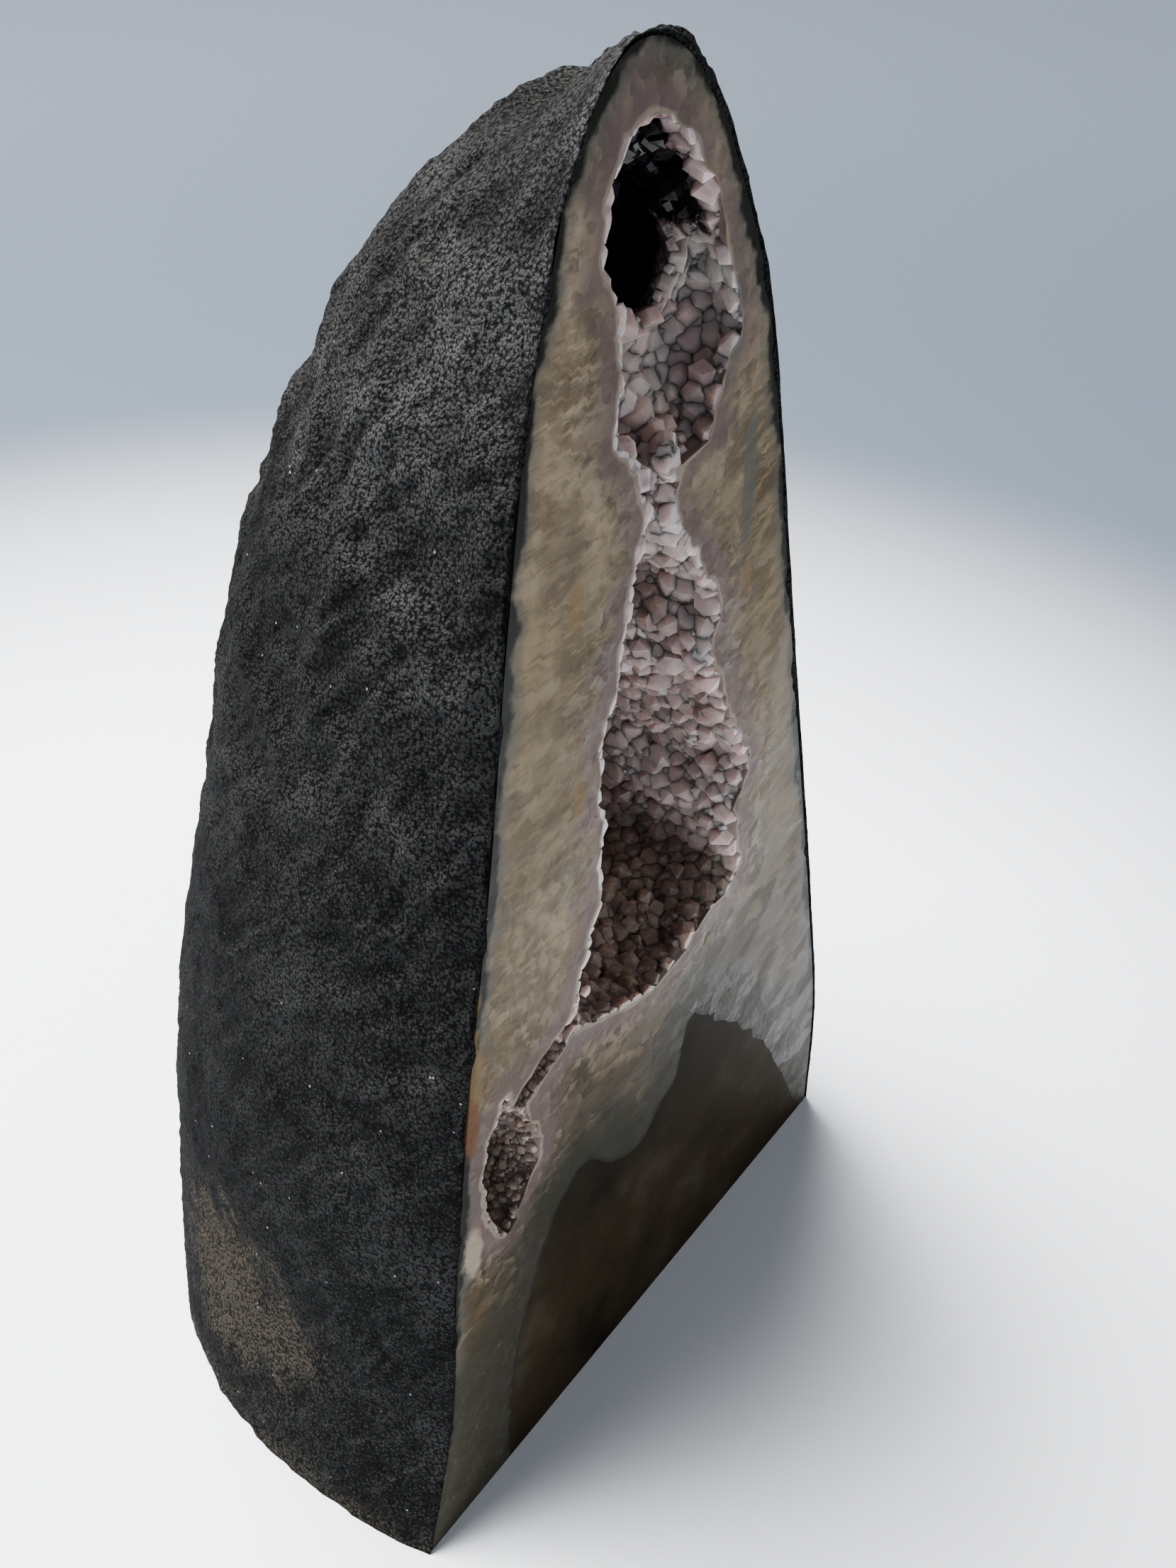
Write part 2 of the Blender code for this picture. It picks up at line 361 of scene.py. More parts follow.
class Wiring:
    """Adds nodes to a node tree and joins them."""

    def __init__(self, tree: Tree) -> None:
        """Works on this node tree."""
        self.tree = tree

    def node(self, kind: str, inputs: dict | None = None, **settings: object) -> Node:
        """Adds a node.

        Args:
            kind: The node's type, without its ShaderNode prefix.
            inputs: Values or sockets for its inputs, by name or by number.
            **settings: The node's own settings.

        Returns:
            The node.
        """
        made = self.tree.nodes.new("ShaderNode" + kind)
        for name, value in settings.items():
            setattr(made, name, value)
        for name, value in (inputs or {}).items():
            if isinstance(value, Socket):
                self.tree.links.new(value, made.inputs[name])
            else:
                made.inputs[name].default_value = value
        return made

    def group(self, tree: Tree, inputs: dict) -> Node:
        """Places a node group."""
        return self.node("Group", inputs, node_tree=tree)

    def part(self, vector: Socket, axis: str) -> Socket:
        """The X, Y or Z of a vector."""
        return self.node("SeparateXYZ", {0: vector}).outputs[axis]

    def stored(self, name: str) -> Socket:
        """A number that the mesh stores under this name."""
        return self.node("Attribute", attribute_name=name).outputs["Fac"]

    def vector(self, operation: str, first: Socket, second: Socket | tuple | None = None) -> Node:
        """Result of a sum on one or two vectors."""
        given = {0: first} if second is None else {0: first, 1: second}
        return self.node("VectorMath", given, operation=operation)

    def math(self, operation: str, *values: Socket | float) -> Socket:
        """Result of a sum on one, two or three values."""
        return self.node("Math", dict(enumerate(values)), operation=operation).outputs[0]

    def plus(self, value: Socket, other: Socket, share: float) -> Socket:
        """A value with a share of another one added."""
        return self.math("ADD", value, self.math("MULTIPLY", other, share))

    def join(self, result: Socket, node: Node, name: str) -> None:
        """Joins a result to a node's input."""
        self.tree.links.new(result, node.inputs[name])

    def remap(self, value: Socket, low: float, high: float, start: float = 0.0, end: float = 1.0) -> Socket:
        """Eases a value from one number to another and holds it outside.

        Args:
            value: The value.
            low: Where it starts.
            high: Where it ends.
            start: The result at low.
            end: The result at high.

        Returns:
            The eased value.
        """
        names = ("From Min", "From Max", "To Min", "To Max")
        inputs = {"Value": value} | dict(zip(names, (low, high, start, end)))
        return self.node("MapRange", inputs, interpolation_type="SMOOTHSTEP").outputs[0]

    def mix(self, factor: Socket | float, first: Paint, second: Paint, blend: str = "MIX") -> Socket:
        """Mixes two colours.

        Args:
            factor: Share of the second colour.
            first: The first colour.
            second: The second colour.
            blend: How the second is laid over the first.

        Returns:
            The mixed colour.
        """
        first, second = (c if isinstance(c, Socket) else (*c, 1) for c in (first, second))
        inputs = {0: factor, 6: first, 7: second}
        return self.node("Mix", inputs, data_type="RGBA", blend_type=blend).outputs[2]

    def lay(self, under: Paint, over: Paint, by: Socket, low: float, high: float, most: float = 1) -> Socket:
        """Lays a colour over another, from none at low to the most at high.

        Args:
            under: The colour below.
            over: The colour that covers it.
            by: The value that decides how much is covered.
            low: The value where nothing is covered.
            high: The value where the most is covered.
            most: The largest share that is covered.

        Returns:
            The mixed colour.
        """
        return self.mix(self.remap(by, low, high, 0.0, most), under, over)

    def noise(self, where: Socket, size: float, detail: float, rough: float = 0.5, warp: float = 0) -> Socket:
        """Soft noise from 0 to 1.

        Args:
            where: The place.
            size: Length of the largest waves, in metres.
            detail: How many times finer waves are added.
            rough: How strong the finer waves are.
            warp: How far the waves are bent.

        Returns:
            The noise.
        """
        names = ("Vector", "Scale", "Detail", "Roughness", "Distortion")
        inputs = dict(zip(names, (where, 1 / size, detail, rough, warp)))
        return self.node("TexNoise", inputs).outputs["Fac"]

    def stretch(self, where: Socket, scale: Size, turn: Size = (0.0, 0.0, 0.0)) -> Socket:
        """A place turned by angles and scaled along each axis."""
        turned = self.node("Mapping", {"Vector": where, "Rotation": turn}).outputs[0]
        return self.node("Mapping", {"Vector": turned, "Scale": scale}).outputs[0]

    def near(self, where: Socket, centre: Size, reach: Size) -> Socket:
        """Nearness to a place.

        Args:
            where: The place on the object.
            centre: The other place, in mm from the lower left corner of the sawn face.
            reach: How far it reaches along each axis, in mm.

        Returns:
            1 at the other place, down to 0 past its reach.
        """
        away = self.vector("SUBTRACT", where, tuple(SHIFT + np.array(centre) * MM)).outputs[0]
        scaled = self.vector("DIVIDE", away, tuple(size * MM for size in reach)).outputs[0]
        return self.remap(self.vector("LENGTH", scaled).outputs["Value"], 0.0, 1.0, 1.0, 0.0)

    def bump(self, height: Socket, depth: float, strength: float = 1.0, onto: Socket | None = None) -> Socket:
        """Normal of a surface with this relief, in metres."""
        inputs = {"Height": height, "Distance": depth, "Strength": strength}
        return self.node("Bump", inputs | ({"Normal": onto} if onto else {})).outputs[0]


def new_group(
    name: str, inputs: dict[str, tuple[Kind, object]], outputs: dict[str, Kind]
) -> tuple[Tree, Wiring, dict[str, Socket]]:
    """Starts a shader node group.

    Args:
        name: The group's name.
        inputs: Kind and default of each input, where None stands for no default.
        outputs: Kind of each output.

    Returns:
        The group, its wiring and its input sockets by name.
    """
    tree = bpy.data.node_groups.new(name, "ShaderNodeTree")
    for socket, (kind, default) in inputs.items():
        made = tree.interface.new_socket(socket, in_out="INPUT", socket_type=kind.value)
        if default is not None:
            made.default_value = default
    for socket, kind in outputs.items():
        tree.interface.new_socket(socket, in_out="OUTPUT", socket_type=kind.value)
    wiring = Wiring(tree)
    entry = tree.nodes.new("NodeGroupInput")
    return tree, wiring, {socket: entry.outputs[socket] for socket in inputs}


def finish_group(tree: Tree, results: dict[str, Socket]) -> Tree:
    """Joins the results to a node group's outputs.

    Args:
        tree: The group.
        results: The result for each output, by name.

    Returns:
        The group.
    """
    leave = tree.nodes.new("NodeGroupOutput")
    for name, value in results.items():
        tree.links.new(value, leave.inputs[name])
    return tree


def grit_group() -> Tree:
    """Grains of two sizes as a height, and a mask of the few grains that get a painted glint.

    Returns:
        The node group.
    """
    inputs = {"Place": (Kind.VECTOR, None), "Grain": (Kind.NUMBER, 0.001)}
    tree, wire, given = new_group("grit", inputs, {"Height": Kind.NUMBER, "Painted glint": Kind.NUMBER})
    scale = wire.math("DIVIDE", 1.0, given["Grain"])
    coarse = wire.node("TexVoronoi", {"Vector": given["Place"], "Scale": scale})
    finer = wire.math("MULTIPLY", scale, 1.7)
    fine = wire.node("TexNoise", {"Vector": given["Place"], "Scale": finer, "Detail": 3.0})
    grains = wire.math("SUBTRACT", 0.75, coarse.outputs["Distance"])
    height = wire.plus(wire.math("MULTIPLY", grains, 0.6), fine.outputs["Fac"], 0.9)
    chance = wire.node("SeparateColor", {0: coarse.outputs["Color"]}).outputs[0]
    rare = wire.math("GREATER_THAN", chance, 0.9975)
    core = wire.math("LESS_THAN", coarse.outputs["Distance"], 0.28)
    return finish_group(tree, {"Height": height, "Painted glint": wire.math("MULTIPLY", rare, core)})


def mottle_group() -> Tree:
    """A colour that wanders between three others in soft clouds.

    Returns:
        The node group.
    """
    inputs = {
        "Place": (Kind.VECTOR, None),
        "Size": (Kind.NUMBER, 0.02),
        "Dark": (Kind.COLOUR, (0, 0, 0, 1)),
        "Middle": (Kind.COLOUR, (0.5, 0.5, 0.5, 1)),
        "Light": (Kind.COLOUR, (1, 1, 1, 1)),
    }
    tree, wire, given = new_group("mottle", inputs, {"Colour": Kind.COLOUR, "Cloud": Kind.NUMBER})
    scale = wire.math("DIVIDE", 1.0, given["Size"])
    inputs = {"Vector": given["Place"], "Scale": scale, "Detail": 5.0, "Roughness": 0.6}
    cloud = wire.node("TexNoise", inputs).outputs["Fac"]
    darker = wire.lay(given["Dark"], given["Middle"], cloud, 0.3, 0.5)
    colour = wire.lay(darker, given["Light"], cloud, 0.5, 0.68)
    return finish_group(tree, {"Colour": colour, "Cloud": cloud})


def mosaic_group() -> Tree:
    """Ragged cells, each with its own tone and slope, and the lines between them.

    Returns:
        The node group.
    """
    inputs = {"Place": (Kind.VECTOR, None), "Size": (Kind.NUMBER, 0.005)}
    tree, wire, given = new_group("mosaic", inputs, {name: Kind.NUMBER for name in ("Tone", "Slope", "Line")})
    scale = wire.math("DIVIDE", 1.0, given["Size"])
    unit = wire.node("VectorMath", {0: given["Place"], "Scale": scale}, operation="SCALE").outputs[0]
    wobble = wire.node("TexNoise", {"Vector": unit, "Scale": 1.3, "Detail": 3.0}).outputs["Color"]
    wobble = wire.vector("SUBTRACT", wobble, (0.5, 0.5, 0.5)).outputs[0]
    wobble = wire.node("VectorMath", {0: wobble, "Scale": 0.9}, operation="SCALE").outputs[0]
    moved = wire.vector("ADD", unit, wobble).outputs[0]
    cell = wire.node("TexVoronoi", {"Vector": moved, "Scale": 1.0})
    border = wire.node("TexVoronoi", {"Vector": moved, "Scale": 1.0}, feature="DISTANCE_TO_EDGE")
    chance = wire.vector("SUBTRACT", cell.outputs["Color"], (0.5, 0.5, 0.5)).outputs[0]
    within = wire.vector("SUBTRACT", moved, cell.outputs["Position"]).outputs[0]
    slope = wire.vector("DOT_PRODUCT", within, chance).outputs["Value"]
    results = {
        "Tone": wire.node("SeparateColor", {0: cell.outputs["Color"]}).outputs[0],
        "Slope": slope,
        "Line": wire.remap(border.outputs["Distance"], 0.0, 0.09, 1.0, 0.0),
    }
    return finish_group(tree, results)


@dataclass(frozen=True)
class Finish:
    """A material and the numbers that hold all over its surface.

    Attributes:
        name: The material's name.
        roughness: How matt it is.
        subsurface: Share of light that goes through it.
        reach: How far light goes through it, in metres.
        gloss: Strength of its reflections.
        ior: Its index of refraction.
    """

    name: str
    roughness: float = 0.5
    subsurface: float = 0.0
    reach: float = 0.004
    gloss: float = 0.5
    ior: float = 1.2

    def start(self) -> tuple[Material, Wiring, Node, Socket]:
        """Makes the material.

        Returns:
            The material, its wiring, its shader and the place on the object.
        """
        material = bpy.data.materials.new(self.name)
        material.use_nodes = True
        wire = Wiring(material.node_tree)
        shader = material.node_tree.nodes["Principled BSDF"]
        shader.inputs["Roughness"].default_value = self.roughness
        shader.inputs["Subsurface Weight"].default_value = self.subsurface
        shader.inputs["Subsurface Scale"].default_value = self.reach
        shader.inputs["Subsurface Radius"].default_value = (1.0, 0.85, 0.8)
        shader.inputs["Specular IOR Level"].default_value = self.gloss
        shader.inputs["IOR"].default_value = self.ior
        place = wire.node("TexCoord").outputs["Object"]
        return material, wire, shader, place


@dataclass(frozen=True)
class CementFinish(Finish):
    """Charcoal paint over sandy cement, worn to brown cement low on the left.

    Attributes:
        dark_paint_and_shade: Darkest paint, and the painted shade in the hollows of its strokes and grains
            and on its lower back.
        paint: Most of the paint.
        light_paint_and_highlight: Lightest paint, and the painted highlight on the crests of its strokes and
            grains.
        bare: Bare cement where the paint has worn off.
        grain: Size of a sand grain.
    """

    dark_paint_and_shade: Colour = (0.0022, 0.0023, 0.0024)
    paint: Colour = (0.0150, 0.0155, 0.0150)
    light_paint_and_highlight: Colour = (0.034, 0.0345, 0.0345)
    bare: Colour = (0.062, 0.052, 0.038)
    grain: float = 0.95 * MM

    def make(self, grit: Tree, mottle: Tree) -> Material:
        """Makes the cement material.

        Args:
            grit: The node group of grains.
            mottle: The node group of soft clouds.

        Returns:
            The material.
        """
        material, wire, shader, place = self.start()
        grains = wire.group(grit, {"Place": place, "Grain": self.grain})
        grain_height = grains.outputs["Height"]
        colours = {"Dark": (*self.dark_paint_and_shade, 1), "Middle": (*self.paint, 1), "Light": (*self.light_paint_and_highlight, 1)}
        paint = wire.group(mottle, {"Place": place, "Size": 0.03} | colours).outputs["Colour"]
        height = wire.part(place, "Z")
        # Painted light: the paint is darkened low down and lightened towards the tip.
        top = wire.remap(height, 0.02, STONE_TOP, 0.75, 1.3)
        top = wire.node("CombineColor", {0: top, 1: top, 2: top}).outputs[0]
        paint = wire.mix(1.0, paint, top, "MULTIPLY")
        relief = wire.stored("relief")
        # Painted shade in the low hollows of the strokes, and painted highlight on their crests.
        paint = wire.mix(wire.remap(relief, -0.5, 0.2, 0.6, 0.0), paint, self.dark_paint_and_shade)
        paint = wire.lay(paint, self.light_paint_and_highlight, relief, 0.3, 1.1, 0.5)
        # Painted highlight on the grain crests, strongest low down, and painted shade between the grains.
        crests, share = wire.remap(grain_height, 0.66, 0.88), wire.remap(height, 0.15, 0.33, 0.75, 0.38)
        paint = wire.mix(wire.math("MULTIPLY", crests, share), paint, self.light_paint_and_highlight)
        paint = wire.lay(paint, self.dark_paint_and_shade, grain_height, 0.62, 0.48, 0.9)
        # Painted shade: the paint darkens towards the back, below the upper part of the stone.
        depth = wire.part(place, "Y")
        behind = wire.remap(depth, SHIFT[1] + 20 * MM, SHIFT[1] + 85 * MM, 0.0, 0.4)
        behind = wire.math("MULTIPLY", behind, wire.remap(height, 0.29, 0.22))
        paint = wire.mix(behind, paint, self.dark_paint_and_shade)

        streaked = wire.noise(wire.stretch(place, (1, 1, 0.35), (0.5, 0, 0)), 0.0055, 6.0, 0.75)
        worn = wire.near(place, (4, 74, 44), (50, 65, 55))
        patches = wire.math("MULTIPLY", wire.noise(place, 0.022, 4.0, 0.7, 0.8), 1.3)
        worn = wire.plus(wire.math("ADD", worn, patches), streaked, 1.7)
        worn = wire.remap(worn, 1.85, 2.35)
        foot = wire.remap(wire.plus(height, streaked, 0.03), 0.024, 0.012, 0.0, 0.6)
        bare = wire.math("MAXIMUM", wire.math("MULTIPLY", worn, 0.8), foot)
        bare = wire.math("MULTIPLY", bare, wire.remap(grain_height, 0.5, 0.72, 0.15, 1.0))
        colour = wire.mix(bare, paint, self.bare)
        # Painted glint: a few grains are coloured light grey as if they caught the light.
        colour = wire.mix(grains.outputs["Painted glint"], colour, (0.35, 0.35, 0.35))
        wire.join(colour, shader, "Base Color")
        wire.join(wire.remap(height, 0.26, 0.35, 1.0, self.roughness), shader, "Roughness")
        normal = wire.bump(wire.noise(place, 0.0045, 4.0, 0.65), 2.4 * MM, 0.55)
        normal = wire.bump(grain_height, 1.5 * MM, 1.0, normal)
        wire.join(normal, shader, "Normal")
        return material


@dataclass(frozen=True)
class WallReadings:
    """What the quartz finish reads off the wall at each place, as sockets.

    Attributes:
        place: The place on the object.
        growth: How far along the rim and how far from it the place lies.
        from_rim: How far from the rim it lies.
        lip: How far from a hollow's edge it lies.
        rock: How far from the host rock it lies.
        side: 1 on the coarse quartz low on the left.
        height: Its height.
        wander: Soft noise about 0 that makes edges ragged.
    """

    place: Socket
    growth: Socket
    from_rim: Socket
    lip: Socket
    rock: Socket
    side: Socket
    height: Socket
    wander: Socket


@dataclass(frozen=True)
class QuartzFinish(Finish):
    """Polished quartz: a dark green rim, milky cream crystals that grow inwards and lavender by the hollows.

    Attributes:
        rim: Dark green and brown line at the rim.
        rind: Grey-green chalcedony inside the rim.
        cream_dark: Greyer part of the milky quartz.
        cream: Most of the milky quartz.
        cream_light: Whitest part of it.
        grey: Smoky quartz at the tip.
        lavender: Amethyst by the hollows.
        green: Grey-green chalcedony round the host rock.
        olive: Dark rock beside the host rock's foot.
        ochre: Iron stain.
        rust: Stronger iron stain by the lower left rim.
        pale: White patches, and the painted highlight along the edges of the hollows.
        inside: Amethyst of the hollows' own walls.
        foot_painted_shade: Painted shade: what the milky colours are multiplied by at the foot.
        middle_painted_shade: Painted shade: the same beside the long chamber.
        top_painted_light: Painted light: the same beside the upper chamber.
    """

    rim: Colour = (0.010, 0.011, 0.007)
    rind: Colour = (0.080, 0.082, 0.068)
    cream_dark: Colour = (0.080, 0.062, 0.040)
    cream: Colour = (0.135, 0.108, 0.070)
    cream_light: Colour = (0.26, 0.215, 0.150)
    grey: Colour = (0.021, 0.0195, 0.0175)
    lavender: Colour = (0.115, 0.080, 0.076)
    green: Colour = (0.017, 0.0175, 0.0115)
    olive: Colour = (0.022, 0.021, 0.012)
    ochre: Colour = (0.19, 0.12, 0.042)
    rust: Colour = (0.12, 0.05, 0.018)
    pale: Colour = (0.30, 0.26, 0.19)
    inside: Colour = (0.21, 0.155, 0.145)
    foot_painted_shade: Colour = (0.28, 0.24, 0.165)
    middle_painted_shade: Colour = (0.82, 0.75, 0.57)
    top_painted_light: Colour = (1.62, 1.58, 1.54)

    def make(self, mottle: Tree, mosaic: Tree) -> Material:
        """Makes the quartz material.

        Args:
            mottle: The node group of soft clouds.
            mosaic: The node group of ragged cells.

        Returns:
            The material.
        """
        material, wire, shader, place = self.start()
        growth = wire.node("UVMap", uv_map="growth").outputs[0]
        wall = WallReadings(
            place=place,
            growth=growth,
            from_rim=wire.part(growth, "Y"),
            lip=wire.stored("lip"),
            rock=wire.stored("rock"),
            side=wire.stored("side"),
            height=wire.part(place, "Z"),
            wander=wire.math("SUBTRACT", wire.noise(place, 0.011, 5.0, 0.6), 0.5),
        )
        colour, fibres = self.milk(wire, wall, mottle)
        blades = wire.group(mosaic, {"Place": wire.stretch(growth, (1.0, 0.5, 1.0)), "Size": 0.0065})
        flakes = wire.group(mosaic, {"Place": place, "Size": 0.0038})
        faceted = wire.remap(wire.plus(wall.lip, wall.wander, 0.014), 0.020, 0.004)
        faceted = wire.math("MAXIMUM", faceted, wire.math("MULTIPLY", wall.side, 0.8))
        for cells, share in ((blades, 0.4), (flakes, wire.math("MULTIPLY", faceted, 0.75))):
            lit = wire.plus(cells.outputs["Slope"], cells.outputs["Tone"], 0.45)
            lighter = wire.math("MULTIPLY", wire.remap(lit, 0.22, 0.55, 0.0, 0.95), share)
            darker = wire.math("MULTIPLY", wire.remap(lit, 0.2, -0.08, 0.0, 0.9), share)
            colour = wire.mix(lighter, colour, self.cream_light)
            colour = wire.mix(darker, colour, self.cream_dark)
        line = wire.math("MULTIPLY", wire.math("MULTIPLY", flakes.outputs["Line"], faceted), 0.15)
        colour = wire.mix(line, colour, self.pale)
        colour, rock_edge = self.borders(wire, wall, colour, fibres)
        colour = self.stained(wire, wall, colour, rock_edge)

        depth = wire.part(place, "Y")
        within = wire.remap(wire.math("SUBTRACT", depth, SHIFT[1]), 0.2 * MM, 1.5 * MM)
        colour = wire.mix(within, colour, self.inside)
        wire.join(colour, shader, "Base Color")
        rough = wire.remap(blades.outputs["Tone"], 0.0, 1.0, self.roughness, self.roughness + 0.16)
        wire.join(rough, shader, "Roughness")
        tilted = wire.math("ADD", flakes.outputs["Slope"], flakes.outputs["Tone"])
        normal = wire.bump(wire.math("MULTIPLY", tilted, faceted), 0.8 * MM, 0.7)
        normal = wire.bump(wire.noise(place, 0.003, 4.0), 0.15 * MM, 0.5, normal)
        wire.join(normal, shader, "Normal")
        return material

    def milk(self, wire: Wiring, wall: WallReadings, mottle: Tree) -> tuple[Socket, Socket]:
        """Milky quartz in clouds, feathers and fibres, smoky at the tip, with painted shade towards the foot
        and painted light beside the upper chamber.

        Args:
            wire: The material's wiring.
            wall: What it reads off the wall.
            mottle: The node group of soft clouds.

        Returns:
            The colour, and the fibres as a value.
        """
        colours = {"Dark": (*self.cream_dark, 1), "Middle": (*self.cream, 1), "Light": (*self.cream_light, 1)}
        clouds = {"Place": wire.stretch(wall.place, (1, 1, 0.6)), "Size": 0.02}
        colour = wire.group(mottle, clouds | colours).outputs["Colour"]
        inwards = wire.stretch(wall.growth, (1.0, 0.2, 1.0))
        fibres = wire.noise(inwards, 0.0017, 5.0, 0.65, 0.6)
        feathers = wire.noise(inwards, 0.005, 4.0, 0.6, 1.2)
        colour = wire.lay(colour, self.cream_light, feathers, 0.5, 0.66, 0.75)
        colour = wire.lay(colour, self.cream_dark, feathers, 0.48, 0.3, 0.5)
        colour = wire.lay(colour, self.cream_light, fibres, 0.52, 0.68, 0.75)
        colour = wire.lay(colour, self.cream_dark, fibres, 0.47, 0.32, 0.7)
        crown = wire.remap(wire.plus(wall.height, fibres, 0.03), 0.343, 0.368, 0.0, 0.88)
        colour = wire.mix(crown, colour, self.grey)
        # Painted light and shade by height: darkened at the foot and beside the long chamber, brightened
        # beside the upper chamber.
        climb = wire.plus(wall.height, wall.wander, 0.06)
        tone = wire.lay(self.foot_painted_shade, self.middle_painted_shade, climb, 0.12, 0.19)
        tone = wire.lay(tone, self.top_painted_light, climb, 0.24, 0.33)
        return wire.mix(1.0, colour, tone, "MULTIPLY"), fibres

    def borders(
        self, wire: Wiring, wall: WallReadings, colour: Socket, fibres: Socket
    ) -> tuple[Socket, Socket]:
        """Bands along the hollows, the rim and the host rock.

        Args:
            wire: The material's wiring.
            wall: What it reads off the wall.
            colour: The colour so far.
            fibres: The fibres as a value.

        Returns:
            The colour, and the ragged distance from the host rock.
        """
        lip_edge = wire.plus(wall.lip, wall.wander, 0.016)
        colour = wire.lay(colour, self.lavender, lip_edge, 0.011, 0.001, 0.8)
        # Painted highlight: a thin pale line where the sawn face meets a hollow, as if the edge caught the
        # light.
        colour = wire.lay(colour, self.pale, wire.plus(wall.lip, wall.wander, 0.004), 0.0011, 0.0003, 0.55)
        rind_edge = wire.plus(wall.from_rim, wall.wander, 0.012)
        colour = wire.lay(colour, self.rind, rind_edge, 0.0065, 0.001, 0.7)
        rock_edge = wire.plus(wall.rock, wire.math("SUBTRACT", fibres, 0.5), 0.03)
        colour = wire.lay(colour, self.green, rock_edge, 0.030, 0.006, 0.9)
        from_band = wire.math("ABSOLUTE", wire.math("SUBTRACT", rock_edge, 0.011))
        colour = wire.lay(colour, self.rim, from_band, 0.0011, 0.0, 0.5)
        colour = wire.lay(colour, self.rim, wall.rock, 0.0018, 0.0006, 0.9)
        rim_edge = wire.plus(wall.from_rim, wall.wander, 0.009)
        return wire.lay(colour, self.rim, rim_edge, 0.0026, 0.0010), rock_edge

    def stained(self, wire: Wiring, wall: WallReadings, colour: Socket, rock_edge: Socket) -> Socket:
        """Stains, and the dark speckled strip beside the host rock's foot.

        Args:
            wire: The material's wiring.
            wall: What it reads off the wall.
            colour: The colour so far.
            rock_edge: The ragged distance from the host rock.

        Returns:
            The colour.
        """
        specks = wire.noise(wall.place, 0.0022, 4.0, 0.7)
        for (x, z, wide, tall), stain, most in STAINS:
            spot = wire.near(wall.place, (x, 0, z), (wide, 20, tall))
            ragged = wire.plus(spot, wire.noise(wall.place, 0.006, 6.0, 0.75), 1.3)
            colour = wire.lay(colour, getattr(self, stain), ragged, 0.95, 1.35, most)
        foot = wire.remap(wire.plus(wall.height, wall.wander, 0.03), 0.080, 0.060)
        strip = wire.math("MULTIPLY", foot, wire.remap(rock_edge, 0.002, 0.008))
        colour = wire.mix(wire.math("MULTIPLY", strip, 0.85), colour, self.olive)
        sparks = wire.math("MULTIPLY", strip, wire.remap(specks, 0.60, 0.68, 0.0, 0.75))
        return wire.mix(sparks, colour, self.rind)


# Stains on the sawn face, in mm from its lower left corner: x, z, half width and half height, then the quartz
# finish's colour and the share of it.
STAINS = (
    ((66, 262, 5, 12), "ochre", 0.55),
    ((66, 214, 4, 11), "ochre", 0.5),
    ((128, 236, 3, 11), "ochre", 0.5),
    ((29, 164, 7, 24), "ochre", 0.6),
    ((27, 148, 6, 18), "rust", 0.85),
    ((94, 138, 9, 4), "ochre", 0.5),
    ((30, 184, 6, 9), "ochre", 0.4),
    ((62, 276, 15, 20), "cream_dark", 0.45),
    ((96, 121, 22, 9), "cream_dark", 0.7),
    ((25, 104, 6, 15), "pale", 0.8),
    ((51, 300, 3, 34), "rim", 0.75),
    ((126, 262, 5, 34), "rind", 0.8),
    ((118, 300, 5, 26), "rind", 0.55),
    ((150, 196, 12, 40), "pale", 0.3),
)


@dataclass(frozen=True)
class BasaltFinish(Finish):
    """Sawn basalt, olive brown and nearly black, with a fine grain and faint saw marks.

    Attributes:
        dark: Darkest grains, the small pits, and the painted shade higher up.
        body: Most of the rock.
        light: Lightest grains.
    """

    dark: Colour = (0.006, 0.0045, 0.0025)
    body: Colour = (0.0175, 0.0125, 0.0058)
    light: Colour = (0.030, 0.025, 0.016)

    def make(self, mottle: Tree) -> Material:
        """Makes the basalt material.

        Args:
            mottle: The node group of soft clouds.

        Returns:
            The material.
        """
        material, wire, shader, place = self.start()
        colours = {"Dark": (*self.dark, 1), "Middle": (*self.body, 1), "Light": (*self.light, 1)}
        cloud = wire.group(mottle, {"Place": place, "Size": 0.035} | colours).outputs["Colour"]
        specks = wire.noise(place, 0.0012, 3.0, 0.6)
        colour = wire.lay(cloud, self.light, specks, 0.58, 0.75, 0.5)
        colour = wire.lay(colour, self.dark, specks, 0.42, 0.3, 0.6)
        scratches = wire.noise(wire.stretch(place, (0.04, 1, 1), (0, 0.5, 0)), 0.0011, 2.0, 0.5)
        colour = wire.lay(colour, (0.06, 0.055, 0.04), scratches, 0.66, 0.8, 0.12)
        pits = wire.node("TexVoronoi", {"Vector": place, "Scale": 1 / 0.007}).outputs["Distance"]
        pitted = wire.remap(pits, 0.05, 0.09, 0.8, 0.0)
        colour = wire.mix(pitted, colour, self.dark)
        height = wire.part(place, "Z")
        # Painted shade: the rock darkens towards its top.
        colour = wire.lay(colour, self.dark, height, 0.045, 0.095, 0.6)
        wire.join(colour, shader, "Base Color")
        wire.join(wire.bump(specks, 0.10 * MM, 0.5), shader, "Normal")
        return material


